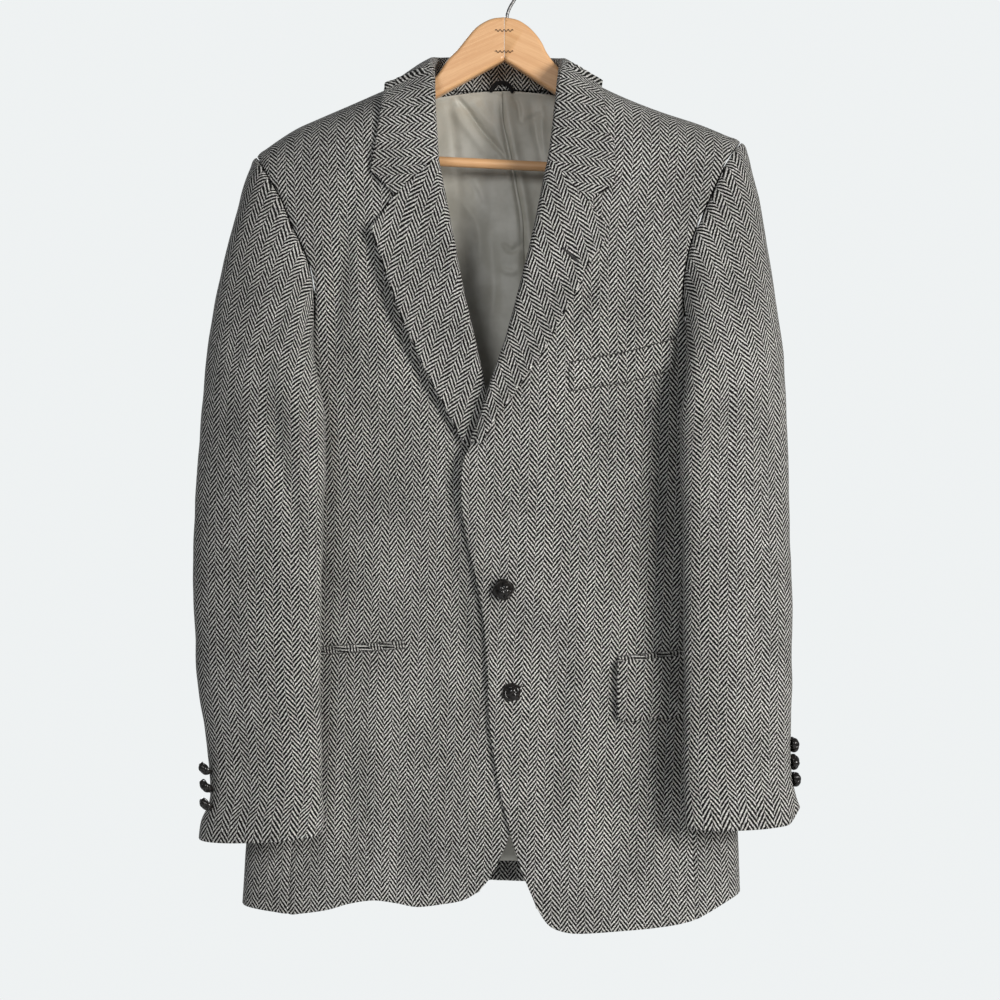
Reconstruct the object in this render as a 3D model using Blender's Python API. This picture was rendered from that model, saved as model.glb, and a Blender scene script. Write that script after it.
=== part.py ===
"""A single-breasted tweed jacket, hanging on a flat wooden hanger from the hanger's hook.

Metres, +Z up. The wearer's front faces -Y, so the wearer's left side is at +X. The origin is
the top of the hook's inside, where a rail carries it. Tables and named sizes are in millimetres.

Every cloth piece is a wall cut from one of two surfaces. The body's surface is a flattened tube
that closes along the shoulders, and a sleeve's is a tube that starts on the armhole.
"""
import math
from collections import namedtuple

import bmesh
import bpy
import numpy as np

MM = 0.001

# ---- driving sizes, in millimetres ------------------------------------------------------
TWEED = 2.6  # a panel of tweed with its canvas
FACING = 1.6  # the turned-up hem inside the back
SATIN = 1.0  # the back's lining
JET = 1.3  # the narrow binding of a pocket's mouth
SEAM_GAP = 0.3  # between pieces sewn together
ARMHOLE_GAP = 0.8
UNDERARM_OUT = 2.0  # how far outside the side panel the under sleeve lies
UNDERARM_THINNER = 1.3  # and how much the cloth is pressed there
LAP_GAP = 0.8  # between the two fronts where they lap
ROLL = 5.0  # radius of the fold of the collar and lapels
LAPEL_OUT = 3.6  # the face of a lapel above the front that it lies on
TAIL = 6.0  # the width of a lapel turned in behind its fold
COLLAR_TAIL = 2.5
LOWEST_STAND = -120.0  # under this level the collar turns straight round the front's edge

SHOULDER_DROP = 42.0  # height over which the shoulder turns into front and back
SHOULDER_TURN = 68.0  # length of cloth over that height
RING_POWER = 2.5  # how square the body's flattened ring is
RING_ASPECT = 0.19  # its usual depth over its half width

FRONT_SEAM = 0.76  # where the side panel starts, as a share of the way from front to side
BACK_SEAM = 1.28  # and where the side panel ends, past the side

WOOD_DEPTH = 16.0
WOOD_EDGE = 3.5
WOOD_JOINT = 0.4  # x of the joint between the two arms
BAR_RADIUS = 4.8
WIRE_RADIUS = 1.6
HOOK_INSIDE = 18.0  # radius of the hook's inside
FRONT_BUTTON = 19.5  # diameters of the knotted buttons
CUFF_BUTTON = 14.5

# ---- tables ---------------------------------------------------------------------------------
Shoulder = namedtuple("Shoulder", "x z")
SHOULDER_LINE = [
    Shoulder(-275, -238),
    Shoulder(-255, -210),
    Shoulder(-239.5, -196),
    Shoulder(-219.5, -181.2),
    Shoulder(-199, -168.5),
    Shoulder(-181.6, -160.8),
    Shoulder(-147.6, -146.2),
    Shoulder(-112.6, -131),
    Shoulder(-73.8, -116),
    Shoulder(0, -92),
    Shoulder(62, -111),
    Shoulder(91.4, -127.5),
    Shoulder(120.6, -141),
    Shoulder(154.6, -154),
    Shoulder(188.6, -165),
    Shoulder(215.8, -176),
    Shoulder(229.5, -182),
    Shoulder(247, -197),
    Shoulder(270, -226),
]

Section = namedtuple("Section", "z middle half_width front back")
BODY_SECTIONS = [
    Section(-80, 0, 272, 40, 42),
    Section(-200, 0, 268, 50, 44),
    Section(-300, 0, 252, 54, 43),
    Section(-380, 0, 229, 53, 41),
    Section(-480, -1, 222, 50, 39),
    Section(-600, -4, 219, 46, 38),
    Section(-700, -7, 224, 45, 39),
    Section(-800, -10, 235, 44, 41),
    Section(-945, -12.5, 243, 44, 43),
]

Armhole = namedtuple("Armhole", "x z")
ARMHOLE_FRONT = {
    -1: [
        Armhole(-239.5, -196),
        Armhole(-227, -217),
        Armhole(-213, -241),
        Armhole(-202.5, -266),
        Armhole(-190, -292),
        Armhole(-182.5, -316),
        Armhole(-180, -340),
        Armhole(-181, -361),
    ],
    1: [
        Armhole(229.5, -182),
        Armhole(217.5, -197),
        Armhole(207.5, -216),
        Armhole(192, -250),
        Armhole(178.5, -281),
        Armhole(171.5, -312),
        Armhole(170, -339),
        Armhole(174, -361),
    ],
}
ARMHOLE_BACK = {
    -1: [
        Armhole(-239.5, -196),
        Armhole(-228, -209),
        Armhole(-212, -232),
        Armhole(-199, -262),
        Armhole(-190, -298),
        Armhole(-184, -334),
    ],
    1: [
        Armhole(229.5, -182),
        Armhole(218, -197),
        Armhole(204, -222),
        Armhole(192, -256),
        Armhole(184, -294),
        Armhole(181, -332),
    ],
}
FRONT_SEAM_TOP = -379  # levels of the armhole at the side panel's seams and between them
UNDERARM = -391
BACK_SEAM_TOP = -366

Edge = namedtuple("Edge", "x z")
# The free edge of each front below its lapel, down to the corner where the hem starts.
FRONT_EDGE = {
    -1: [
        Edge(10, -520),
        Edge(15, -570),
        Edge(19, -624),
        Edge(21, -700),
        Edge(17, -770),
        Edge(10.5, -815),
        Edge(4, -849),
        Edge(-3.8, -869),
        Edge(-12.4, -887),
        Edge(-24, -902),
    ],
    1: [
        Edge(-38, -491),
        Edge(-40, -524),
        Edge(-36.5, -558),
        Edge(-27.5, -598),
        Edge(-19.5, -640),
        Edge(-15.8, -688),
        Edge(-12.5, -750),
        Edge(-2, -812),
        Edge(14, -873),
        Edge(31, -917),
    ],
}
# The hem of each front, from that corner to its side, and the side of the body and the back.
HEM = {
    -1: [
        Edge(-24, -902),
        Edge(-39, -910),
        Edge(-60, -914),
        Edge(-83, -916.5),
        Edge(-103, -913),
        Edge(-125, -910.5),
        Edge(-148, -914),
        Edge(-170, -920.5),
        Edge(-200, -925),
    ],
    1: [
        Edge(31, -917),
        Edge(41, -932),
        Edge(53, -939),
        Edge(72, -942),
        Edge(110, -940),
        Edge(140, -938),
        Edge(165, -935),
        Edge(182, -931),
        Edge(195, -925),
    ],
}
SIDE_HEM = {-1: -919, 1: -908}
BACK_SEAM_HEM = {-1: -909, 1: -911}
CENTRE_HEM = -904
NECK_CENTRE_X = -6

Lapel = namedtuple("Lapel", "roll_x roll_z edge_x edge_z")
# Its first row is the gorge seam and the notch, which has two more points of its own.
LAPEL = {
    -1: [
        Lapel(-61.5, -206, -125.5, -272.5),
        Lapel(-56.2, -233.7, -119.6, -288),
        Lapel(-46.5, -283.9, -110.5, -315.5),
        Lapel(-37.9, -329.9, -101.4, -344.2),
        Lapel(-28.5, -370, -84.5, -382),
        Lapel(-20, -408, -70.1, -412.4),
        Lapel(-13, -436, -54, -442.7),
        Lapel(-5, -462, -40.8, -468.3),
        Lapel(2, -486, -20, -490),
        Lapel(8, -505, -3, -507),
    ],
    1: [
        Lapel(40.6, -208, 97, -270),
        Lapel(37, -224, 92.7, -286.7),
        Lapel(33, -245, 84.5, -296),
        Lapel(25.5, -280, 76.4, -310),
        Lapel(17, -315, 67.2, -331.2),
        Lapel(8, -350, 53, -357),
        Lapel(-0.5, -380, 37, -386),
        Lapel(-8.5, -402.3, 21, -409),
        Lapel(-16.1, -425, 4, -434),
        Lapel(-23.5, -448, -11.5, -455),
        Lapel(-33, -472, -22, -475),
    ],
}
Notch = namedtuple("Notch", "gorge_x gorge_z inner_x inner_z")
NOTCH = {-1: Notch(-78, -217, -103, -238.6), 1: Notch(60, -225, 79, -245.5)}

Collar = namedtuple("Collar", "fold_x fold_y fold_z neck_x neck_z tuck edge_x edge_z face")
# Stations round the neck, from the wearer's right end over the back to the left end. The
# inner edge at the neck and the outer edge are placed on the body's front or back, the
# inner one a tuck's depth behind it.
COLLAR = [
    Collar(-61.5, -48, -205.4, -68, -205, 6.3, -126, -214.6, "front"),
    Collar(-62.8, -46.5, -181, -69.5, -183, 6.3, -122.5, -197, "front"),
    Collar(-65, -43, -150, -70.8, -152, 6.0, -117.5, -167, "front"),
    Collar(-66.8, -32, -127, -71.2, -131, 4.5, -114.5, -146, "front"),
    Collar(-67.8, -16, -109.5, -70.8, -118.5, 1.0, -112.5, -131.6, "front"),
    Collar(-66.5, 4, -99.5, -70.5, -115.4, 0, -110, -133, "back"),
    Collar(-59, 23, -95, -60, -119.5, 7, -94, -140, "back"),
    Collar(-42, 35, -92.5, -45, -122, 7.5, -66, -144, "back"),
    Collar(-22, 42, -91.2, -23, -122, 7.5, -32, -146, "back"),
    Collar(-6, 44, -91, -6, -122, 7.5, -6, -146.5, "back"),
    Collar(12, 42, -91.5, 12, -122, 7.5, 20, -146, "back"),
    Collar(31, 36, -93, 33, -122, 7.5, 48, -143, "back"),
    Collar(47, 24, -95.5, 48, -118, 7, 76, -138, "back"),
    Collar(55, 5, -100.3, 59.4, -110.6, 0, 89.5, -130, "back"),
    Collar(53.5, -17, -109, 59, -114, 0.8, 91.6, -128, "front"),
    Collar(50.8, -31, -127, 56, -127, 4.5, 93.7, -143, "front"),
    Collar(48, -42.5, -150, 53.6, -152, 6.0, 96, -168, "front"),
    Collar(44.5, -46.5, -180, 50.4, -182, 6.3, 103.5, -194, "front"),
    Collar(40.6, -48, -207.2, 47, -206, 6.3, 104.5, -228.8, "front"),
]
# The neck edge of the fronts under it, from the shoulder down.
NECK_EDGE = {
    -1: [
        Edge(-74.5, -116.4),
        Edge(-75, -121),
        Edge(-74.5, -127),
        Edge(-71.8, -136),
        Edge(-69.6, -150),
        Edge(-67.4, -183),
    ],
    1: [
        Edge(63.5, -111.9),
        Edge(63.8, -116),
        Edge(62, -123),
        Edge(56.6, -133),
        Edge(52.8, -150),
        Edge(49.2, -183),
    ],
}

Ring = namedtuple("Ring", "z outer inner y half_depth tilt rise")
# Level rings of each sleeve, under its head. Rise is how far the outer end is above the inner.
SLEEVE_RINGS = {
    -1: [
        Ring(-432, -287.5, -168, -53, 24, 24, 34),
        Ring(-485, -291.5, -168, -55, 24, 21, 16),
        Ring(-550, -295, -170, -56, 24, 18, 4),
        Ring(-620, -296, -171.5, -57, 23, 16, 0),
        Ring(-700, -292, -172, -58, 22, 15, 0),
        Ring(-748, -284.6, -171.5, -58.5, 21.5, 14, -2),
        Ring(-790, -280, -171, -59, 21, 14, -4),
        Ring(-812, -280, -170.5, -59, 20.5, 14, -6),
        Ring(-829, -286.5, -170, -59, 20, 14, -7),
        Ring(-845, -289.5, -171, -59, 20, 14, -9),
    ],
    1: [
        Ring(-432, 268, 167, -53, 24, 24, 34),
        Ring(-485, 270, 167, -55, 24, 21, 16),
        Ring(-550, 271.5, 168, -56, 24, 18, 4),
        Ring(-620, 273, 168.5, -57, 23, 16, 0),
        Ring(-700, 273.5, 169, -58, 22, 15, 0),
        Ring(-756, 271.8, 170, -59, 21, 14, 0),
        Ring(-790, 272.8, 169.5, -59, 20.5, 14, 2),
        Ring(-812, 277, 169.5, -59, 20, 14, 2),
        Ring(-833, 280.5, 171, -59, 20, 14, 3),
    ],
}
RING_TWIST = 54  # degrees that the cloth under the arm lies further round than at its top
CUFF_DIP = 5.0  # how much lower the front of a cuff hangs than its back
CUFF_CORNER = {-1: 0.0, 1: 11.0}  # how far a cuff's outer corner is turned up
FORE_SEAM = 0.39  # seams of the sleeve, as shares of the armhole from the shoulder, frontwards
HIND_SEAM = 0.97
# Columns of the under sleeve, closer together below the armpit, where the cloth turns most.
UNDER_SHARES = [
    *(FORE_SEAM, 0.42, 0.445, 0.465, 0.483, 0.5, 0.518, 0.54),
    *(0.57, 0.61, 0.66, 0.73, 0.81, 0.89, HIND_SEAM),
]
ELBOW_ROW = 12  # the row of a top sleeve at which its lower half is a solid of its own

Band = namedtuple("Band", "x top bottom")
WELT = [
    Band(62, -399.5, -425),
    Band(84, -395.5, -421.5),
    Band(107, -391.2, -418),
    Band(126, -387, -414.2),
    Band(145, -381.5, -409),
    Band(163, -376.5, -404.5),
]
HIP_MOUTH = {-1: (Edge(-95, -666.5), Edge(-222, -677)), 1: (Edge(108.5, -682), Edge(207, -672.3))}
JET_HEIGHT = 3.0
FLAP = [
    Band(108.5, -684.5, -735),
    Band(114, -684.0, -738.5),
    Band(142, -681.2, -736.5),
    Band(171, -678.2, -735),
    Band(190, -676.4, -733.5),
    Band(207, -674.8, -732),
]

LEFT_ARM_TOP = [
    Edge(0.4, -60.9), Edge(13, -63.5), Edge(23, -69.5), Edge(31, -77.4), Edge(37, -86),
    Edge(41.7, -95.5), Edge(50, -106.5), Edge(62, -117), Edge(91, -133.5), Edge(121, -147.5),
    Edge(155, -160.5), Edge(188, -171.5), Edge(205, -178.5), Edge(214, -189),
]
LEFT_ARM_LOW = [
    Edge(213, -207), Edge(204, -216), Edge(190, -221), Edge(181, -217), Edge(178, -207),
    Edge(178, -192.5), Edge(155, -184), Edge(121, -171), Edge(91, -158), Edge(70, -146),
    Edge(49, -134), Edge(23, -117), Edge(0.4, -102.5),
]
RIGHT_ARM_TOP = [
    Edge(0.4, -60.9), Edge(-11.6, -62.4), Edge(-22.7, -67.8), Edge(-30.4, -74.4),
    Edge(-38.3, -84.2), Edge(-46, -93.6), Edge(-55, -102.8), Edge(-66, -118),
    Edge(-84, -129.5), Edge(-113, -138), Edge(-148, -152.5), Edge(-182, -167),
    Edge(-199, -174), Edge(-212, -183), Edge(-219, -194),
]
RIGHT_ARM_LOW = [
    Edge(-217, -203), Edge(-207, -208.5), Edge(-192, -207), Edge(-184, -202),
    Edge(-184, -187), Edge(-148, -174.5), Edge(-113, -161.5), Edge(-84, -149),
    Edge(-66, -139), Edge(-28, -118), Edge(0.4, -102.5),
]
BAR_ENDS = (Edge(-183.6, -194), Edge(177.6, -212))
FASTENERS = {"upper": -74.5, "lower": -95.0}

PLEAT = [Edge(-2, -124), Edge(-1, -150), Edge(5, -180), Edge(12, -215), Edge(19, -260), Edge(22, -420)]
PLEAT_STEP = 3.0


# ---- curves and surfaces ----------------------------------------------------------------
def smooth(xs, ys, at):
    """Reads a table between its rows on a smooth curve that doesn't overshoot them."""
    xs, ys = np.asarray(xs, float), np.asarray(ys, float)
    if xs[0] > xs[-1]:
        xs, ys = xs[::-1], ys[::-1]
    at = np.clip(at, xs[0], xs[-1])
    step, slope = np.diff(xs), np.diff(ys) / np.diff(xs)
    tangent = np.empty_like(ys)
    tangent[0], tangent[-1] = slope[0], slope[-1]
    before, after = slope[:-1], slope[1:]
    same_way = before * after > 0
    harmonic = 2 * before * after / np.where(same_way, before + after, 1)
    tangent[1:-1] = np.where(same_way, harmonic, 0)
    i = np.clip(np.searchsorted(xs, at) - 1, 0, len(step) - 1)
    t = (at - xs[i]) / step[i]
    return (
        ys[i] * (1 + 2 * t) * (1 - t) ** 2
        + ys[i + 1] * t * t * (3 - 2 * t)
        + step[i] * (tangent[i] * t * (1 - t) ** 2 - tangent[i + 1] * t * t * (1 - t))
    )


def through(points, at):
    """A Catmull-Rom curve through points, read at shares of its chord length."""
    points = np.asarray(points, float)
    chord = np.linalg.norm(np.diff(points, axis=0).reshape(len(points) - 1, -1), axis=1)
    place = np.concatenate([[0], np.cumsum(np.sqrt(chord))])
    place /= place[-1]
    ends = np.concatenate([[2 * points[0] - points[1]], points, [2 * points[-1] - points[-2]]])
    at = np.atleast_1d(at)
    i = np.clip(np.searchsorted(place, at, side="right") - 1, 0, len(points) - 2)
    t = ((at - place[i]) / (place[i + 1] - place[i])).reshape((-1,) + (1,) * (points.ndim - 1))
    a, b, c, d = ends[i], ends[i + 1], ends[i + 2], ends[i + 3]
    return 0.5 * (
        2 * b + (c - a) * t + (2 * a - 5 * b + 4 * c - d) * t**2 + (3 * b - a - 3 * c + d) * t**3
    )


def ease(at, start, end):
    """0 before start, 1 after end, and smooth between them."""
    t = np.clip((np.asarray(at, float) - start) / (end - start), 0, 1)
    return t * t * (3 - 2 * t)


def quarter_ring():
    """A quarter of the body's ring of half width 1 and depth 1, by shares of its length."""
    angle = np.linspace(0, math.pi / 2, 600)
    out = np.sin(angle) ** (2 / RING_POWER)
    deep = np.cos(angle) ** (2 / RING_POWER)
    steps = np.hypot(np.diff(out), RING_ASPECT * np.diff(deep))
    along = np.concatenate([[0], np.cumsum(steps)])
    return along / along[-1], out, deep


RING_ALONG, RING_OUT, RING_DEEP = quarter_ring()


def section_at(z):
    """Middle, half width, front depth and back depth of the body at level z."""
    levels = [row.z for row in BODY_SECTIONS]
    return [smooth(levels, [row[k] for row in BODY_SECTIONS], z) for k in range(1, 5)]


def shoulder_at(x):
    return smooth([row.x for row in SHOULDER_LINE], [row.z for row in SHOULDER_LINE], x)


def body(turn, down):
    """A point of the body, in millimetres.

    turn goes round it: 0 is the middle of the front, 1 the wearer's left side, 2 the middle of
    the back and negative the wearer's right. down is the cloth's length from the shoulder line.
    """
    turn, down = np.broadcast_arrays(np.asarray(turn, float), np.asarray(down, float))
    share = np.where(np.abs(turn) > 1, 2 - np.abs(turn), np.abs(turn))
    out = np.interp(share, RING_ALONG, RING_OUT) * np.sign(turn)
    deep = np.interp(share, RING_ALONG, RING_DEEP)
    bend = np.clip(down / SHOULDER_TURN, 0, 1) * math.pi / 2
    fall = SHOULDER_DROP * (1 - np.cos(bend)) + np.maximum(down - SHOULDER_TURN, 0)
    z = -150 - fall
    for _ in range(6):
        middle, half_width, front, back = section_at(z)
        x = middle + half_width * out
        z = shoulder_at(x) - fall
    y = np.where(np.abs(turn) > 1, back, -front) * deep * np.sin(bend)
    return np.stack([x, y, z], axis=-1)


def place(x, z, face="front"):
    """The turn and down of the point of the body's front or back that has this x and z."""
    x, z = np.broadcast_arrays(np.asarray(x, float), np.asarray(z, float))
    middle, half_width, _, _ = section_at(z)
    share = np.interp(np.abs(x - middle) / half_width, RING_OUT, RING_ALONG)
    fall = np.maximum(shoulder_at(x) - z, 0)
    bend = np.arccos(np.clip(1 - fall / SHOULDER_DROP, 0, 1))
    down = bend / (math.pi / 2) * SHOULDER_TURN + np.maximum(fall - SHOULDER_DROP, 0)
    turn = np.where(x < middle, -1, 1) * (share if face == "front" else 2 - share)
    return turn, down


def body_normal(turn, down):
    """The body's outward direction at a point."""
    a, d = 0.002, 0.2
    down = np.maximum(down, d)
    round_it = body(turn + a, down) - body(turn - a, down)
    along = body(turn, down + d) - body(turn, down - d)
    n = np.cross(along, round_it)
    n /= np.linalg.norm(n, axis=-1, keepdims=True)
    return n


def lay(turn, down, out=0.0):
    """A point of the body moved outwards, or inwards where out is negative."""
    return body(turn, down) + body_normal(turn, down) * np.asarray(out, float)[..., None]


def on_body(x, z, out=0.0, face="front"):
    return lay(*place(x, z, face), out)


def lap_lift(x, z):
    """How far the wearer's left front stands off, where it laps over the right one."""
    high = 11.5 * (1 - ease(z, -395, -330)) * ease(z, -575, -500)
    low = (TWEED + LAP_GAP) * (1 - ease(z, -575, -500))
    return (high + low) * (1 - ease(x, 26, 88))


def patch(left, right, top, bottom, spread=None):
    """Fills a four-sided outline with rows and columns. Each side is a list of places."""
    left, right, top, bottom = (np.asarray(s, float) for s in (left, right, top, bottom))
    u = (np.linspace(0, 1, len(top)) if spread is None else spread)[None, :, None]
    v = np.linspace(0, 1, len(left))[:, None, None]
    corners = (
        (1 - u) * (1 - v) * top[0] + u * (1 - v) * top[-1]
        + (1 - u) * v * bottom[0] + u * v * bottom[-1]
    )
    across = (1 - u) * left[:, None] + u * right[:, None]
    downward = (1 - v) * top[None] + v * bottom[None]
    return across + downward - corners


def grid_normals(grid):
    n = np.cross(np.gradient(grid, axis=0), np.gradient(grid, axis=1))
    return n / np.maximum(np.linalg.norm(n, axis=-1, keepdims=True), 1e-9)


def draw_in(grid, gap=SEAM_GAP / 2, sides="ltrb"):
    """Moves the rows and columns at a piece's edges inwards, to part it from its neighbours."""
    grid = grid.copy()
    edges = {"t": (0, 1, 0), "b": (-1, -2, 0), "l": (0, 1, 1), "r": (-1, -2, 1)}
    for side in sides:
        edge, inner, axis = edges[side]
        lines = np.moveaxis(grid, axis, 0)
        way = lines[inner] - lines[edge]
        lines[edge] += gap * way / np.maximum(np.linalg.norm(way, axis=-1, keepdims=True), 1e-9)
    return grid


# ---- solids -------------------------------------------------------------------------------
def material(name, colour, roughness, metallic=0.0):
    made = bpy.data.materials.new(name)
    made.use_nodes = True
    shader = made.node_tree.nodes["Principled BSDF"]
    shader.inputs["Base Color"].default_value = (*colour, 1)
    shader.inputs["Roughness"].default_value = roughness
    shader.inputs["Metallic"].default_value = metallic
    return made


def add(name, points, faces, finish, angle=40):
    """A mesh object in metres from points in millimetres, facing outwards."""
    mesh = bpy.data.meshes.new(name)
    mesh.from_pydata((np.asarray(points) * MM).tolist(), [], faces)
    edit = bmesh.new()
    edit.from_mesh(mesh)
    bmesh.ops.recalc_face_normals(edit, faces=edit.faces)
    bmesh.ops.triangulate(edit, faces=edit.faces)
    edit.to_mesh(mesh)
    edit.free()
    mesh.shade_smooth()
    mesh.set_sharp_from_angle(angle=math.radians(angle))
    mesh.materials.append(finish)
    made = bpy.data.objects.new(name, mesh)
    bpy.context.scene.collection.objects.link(made)
    return made


def wall(name, outer, inner, finish):
    """The closed wall between two grids of the same rows and columns."""
    rows, columns = outer.shape[:2]
    half = rows * columns

    def at(r, c, layer):
        return layer * half + r * columns + c

    faces = []
    for layer in (0, 1):
        for r in range(rows - 1):
            for c in range(columns - 1):
                near, far = at(r, c, layer), at(r + 1, c, layer)
                faces.append((near, near + 1, far + 1, far))
    rim = [(0, c) for c in range(columns)]
    rim += [(r, columns - 1) for r in range(1, rows)]
    rim += [(rows - 1, c) for c in range(columns - 2, -1, -1)]
    rim += [(r, 0) for r in range(rows - 2, 0, -1)]
    for one, two in zip(rim, rim[1:] + rim[:1]):
        faces.append((at(*one, 0), at(*two, 0), at(*two, 1), at(*one, 1)))
    points = np.concatenate([outer.reshape(-1, 3), inner.reshape(-1, 3)])
    return add(name, points, faces, finish)


def body_panel(name, places, finish, thickness=TWEED, out=0.0, sides="ltrb"):
    """A wall that follows the body. places is a grid of turn and down."""
    turn, down = places[..., 0], places[..., 1]
    normal = body_normal(turn, down)
    outer = body(turn, down) + normal * np.broadcast_to(out, turn.shape)[..., None]
    outer = draw_in(outer, sides=sides)
    return wall(name, outer, outer - normal * thickness, finish)


def edge_places(rows, shares, face="front"):
    """Places along a table of x and z, at shares of its length over the body."""
    table = np.array([(row.x, row.z) for row in rows], float)
    line = through(table, np.linspace(0, 1, 400))
    turn, down = place(line[:, 0], line[:, 1], face)
    steps = np.linalg.norm(np.diff(body(turn, down), axis=0), axis=1)
    along = np.concatenate([[0], np.cumsum(steps)]) / np.sum(steps)
    return np.stack([np.interp(shares, along, turn), np.interp(shares, along, down)], axis=-1)


def seam_places(turn, top, hem, count):
    """Places down a seam of constant turn, from one level to another."""
    levels = np.linspace(top, hem, count)
    middle, half_width, _, _ = section_at(levels)
    share = 2 - abs(turn) if abs(turn) > 1 else abs(turn)
    x = middle + math.copysign(1, turn) * half_width * np.interp(share, RING_ALONG, RING_OUT)
    face = "back" if abs(turn) > 1 else "front"
    return np.stack(place(x, levels, face), axis=-1)


ARM_ROWS = 13  # rows of a panel beside the armhole, and under it
SEAM_ROWS = 12
ARM_SHARES = np.linspace(0, 1, ARM_ROWS) ** 1.4  # closer together over the shoulder
SEAM_SHARES = np.linspace(0, 1, SEAM_ROWS)
FRONT_COLUMNS = 10
BACK_COLUMNS = 10
NECK_COLUMNS = np.array([0, 0.38, 0.68, 0.88, 1])  # shares of the way along half the back's neck
SIDE_TURNS = (FRONT_SEAM, 0.83, 0.89, 0.935, 0.97, 1.0, 1.035, 1.08, 1.135, 1.2, BACK_SEAM)


def armhole_places(side, face):
    """Places down the armhole's front or back, from the shoulder to the side panel's seam."""
    rows = (ARMHOLE_FRONT if face == "front" else ARMHOLE_BACK)[side]
    seam, top = (FRONT_SEAM, FRONT_SEAM_TOP) if face == "front" else (BACK_SEAM, BACK_SEAM_TOP)
    end = body(*seam_places(side * seam, top, top - 1, 2)[0])
    return edge_places(rows + [Armhole(end[0], end[2])], ARM_SHARES, face)


def underarm_level(turn):
    """The level of the side panel's top edge."""
    keys = [FRONT_SEAM, 1.0, BACK_SEAM]
    return smooth(keys, [FRONT_SEAM_TOP, UNDERARM, BACK_SEAM_TOP], turn)


def seam_hem(side, face):
    """The hem's level at a side panel's seam."""
    if face == "back":
        return BACK_SEAM_HEM[side]
    x = body(side * FRONT_SEAM, 780)[0]
    rows = HEM[side]
    return float(smooth([row.x for row in rows], [row.z for row in rows], x))


def front_inner_edge(side):
    """The edge of a front from the shoulder down: under the collar, in the lapel's fold, free."""
    inset = ROLL + 0.5
    roll = [Edge(row.roll_x + side * inset, row.roll_z) for row in LAPEL[side]]
    return NECK_EDGE[side] + roll + FRONT_EDGE[side]


def parted(rows, level):
    """A table of x and z parted at a level into the rows above it and those below it."""
    fine = through(np.array([(row.x, row.z) for row in rows], float), np.linspace(0, 1, 400))
    x = float(np.interp(-level, -fine[:, 1], fine[:, 0]))
    cut = Edge(x, level)
    return [r for r in rows if r.z > level + 6] + [cut], [cut] + [r for r in rows if r.z < level - 6]


def front_panel(side, name, finish):
    arm = armhole_places(side, "front")
    seam = seam_places(side * FRONT_SEAM, FRONT_SEAM_TOP, seam_hem(side, "front"), SEAM_ROWS)
    right = np.concatenate([arm, seam[1:]])
    high, low = parted(front_inner_edge(side), LAPEL[side][-1].roll_z - 2)
    left = np.concatenate([edge_places(high, ARM_SHARES), edge_places(low, SEAM_SHARES)[1:]])
    seam_x = body(*seam[-1])[0]
    hem = [row for row in HEM[side] if abs(row.x) < abs(seam_x)]
    hem.append(Edge(seam_x, seam_hem(side, "front")))
    bottom = edge_places(hem, np.linspace(0, 1, FRONT_COLUMNS + 1))
    top_x = np.linspace(NECK_EDGE[side][0].x, ARMHOLE_FRONT[side][0].x, FRONT_COLUMNS + 1)
    top = np.stack(place(top_x, shoulder_at(top_x)), axis=-1)
    right[0], left[0], bottom[0], bottom[-1] = top[-1], top[0], left[-1], right[-1]
    places = patch(left, right, top, bottom)
    points = body(places[..., 0], places[..., 1])
    lift = lap_lift(points[..., 0], points[..., 2]) if side == 1 else 0.0
    return body_panel(name, places, finish, out=lift)


def side_panel(side, name, finish):
    turns = side * np.array(SIDE_TURNS)
    front = seam_places(turns[0], FRONT_SEAM_TOP, seam_hem(side, "front"), SEAM_ROWS)
    back = seam_places(turns[-1], BACK_SEAM_TOP, seam_hem(side, "back"), SEAM_ROWS)
    tops = underarm_level(np.abs(turns))
    keys = [FRONT_SEAM, 1.0, BACK_SEAM]
    hem_levels = [seam_hem(side, "front"), SIDE_HEM[side], seam_hem(side, "back")]
    hems = smooth(keys, hem_levels, np.abs(turns))
    top = np.array([seam_places(t, z, z - 1, 2)[0] for t, z in zip(turns, tops)])
    bottom = np.array([seam_places(t, z, z - 1, 2)[0] for t, z in zip(turns, hems)])
    spread = (top[:, 0] - top[0, 0]) / (top[-1, 0] - top[0, 0])
    return body_panel(name, patch(front, back, top, bottom, spread), finish)


def back_neck(x):
    """The level of the back's neck edge, under the collar."""
    xs = [-74.5, -73, -69, -58, NECK_CENTRE_X, 35, 50, 58, 62, 63.5]
    return smooth(xs, [-116.4, -121, -124, -123, -121, -121, -121.5, -121, -117, -111.9], x)


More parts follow.
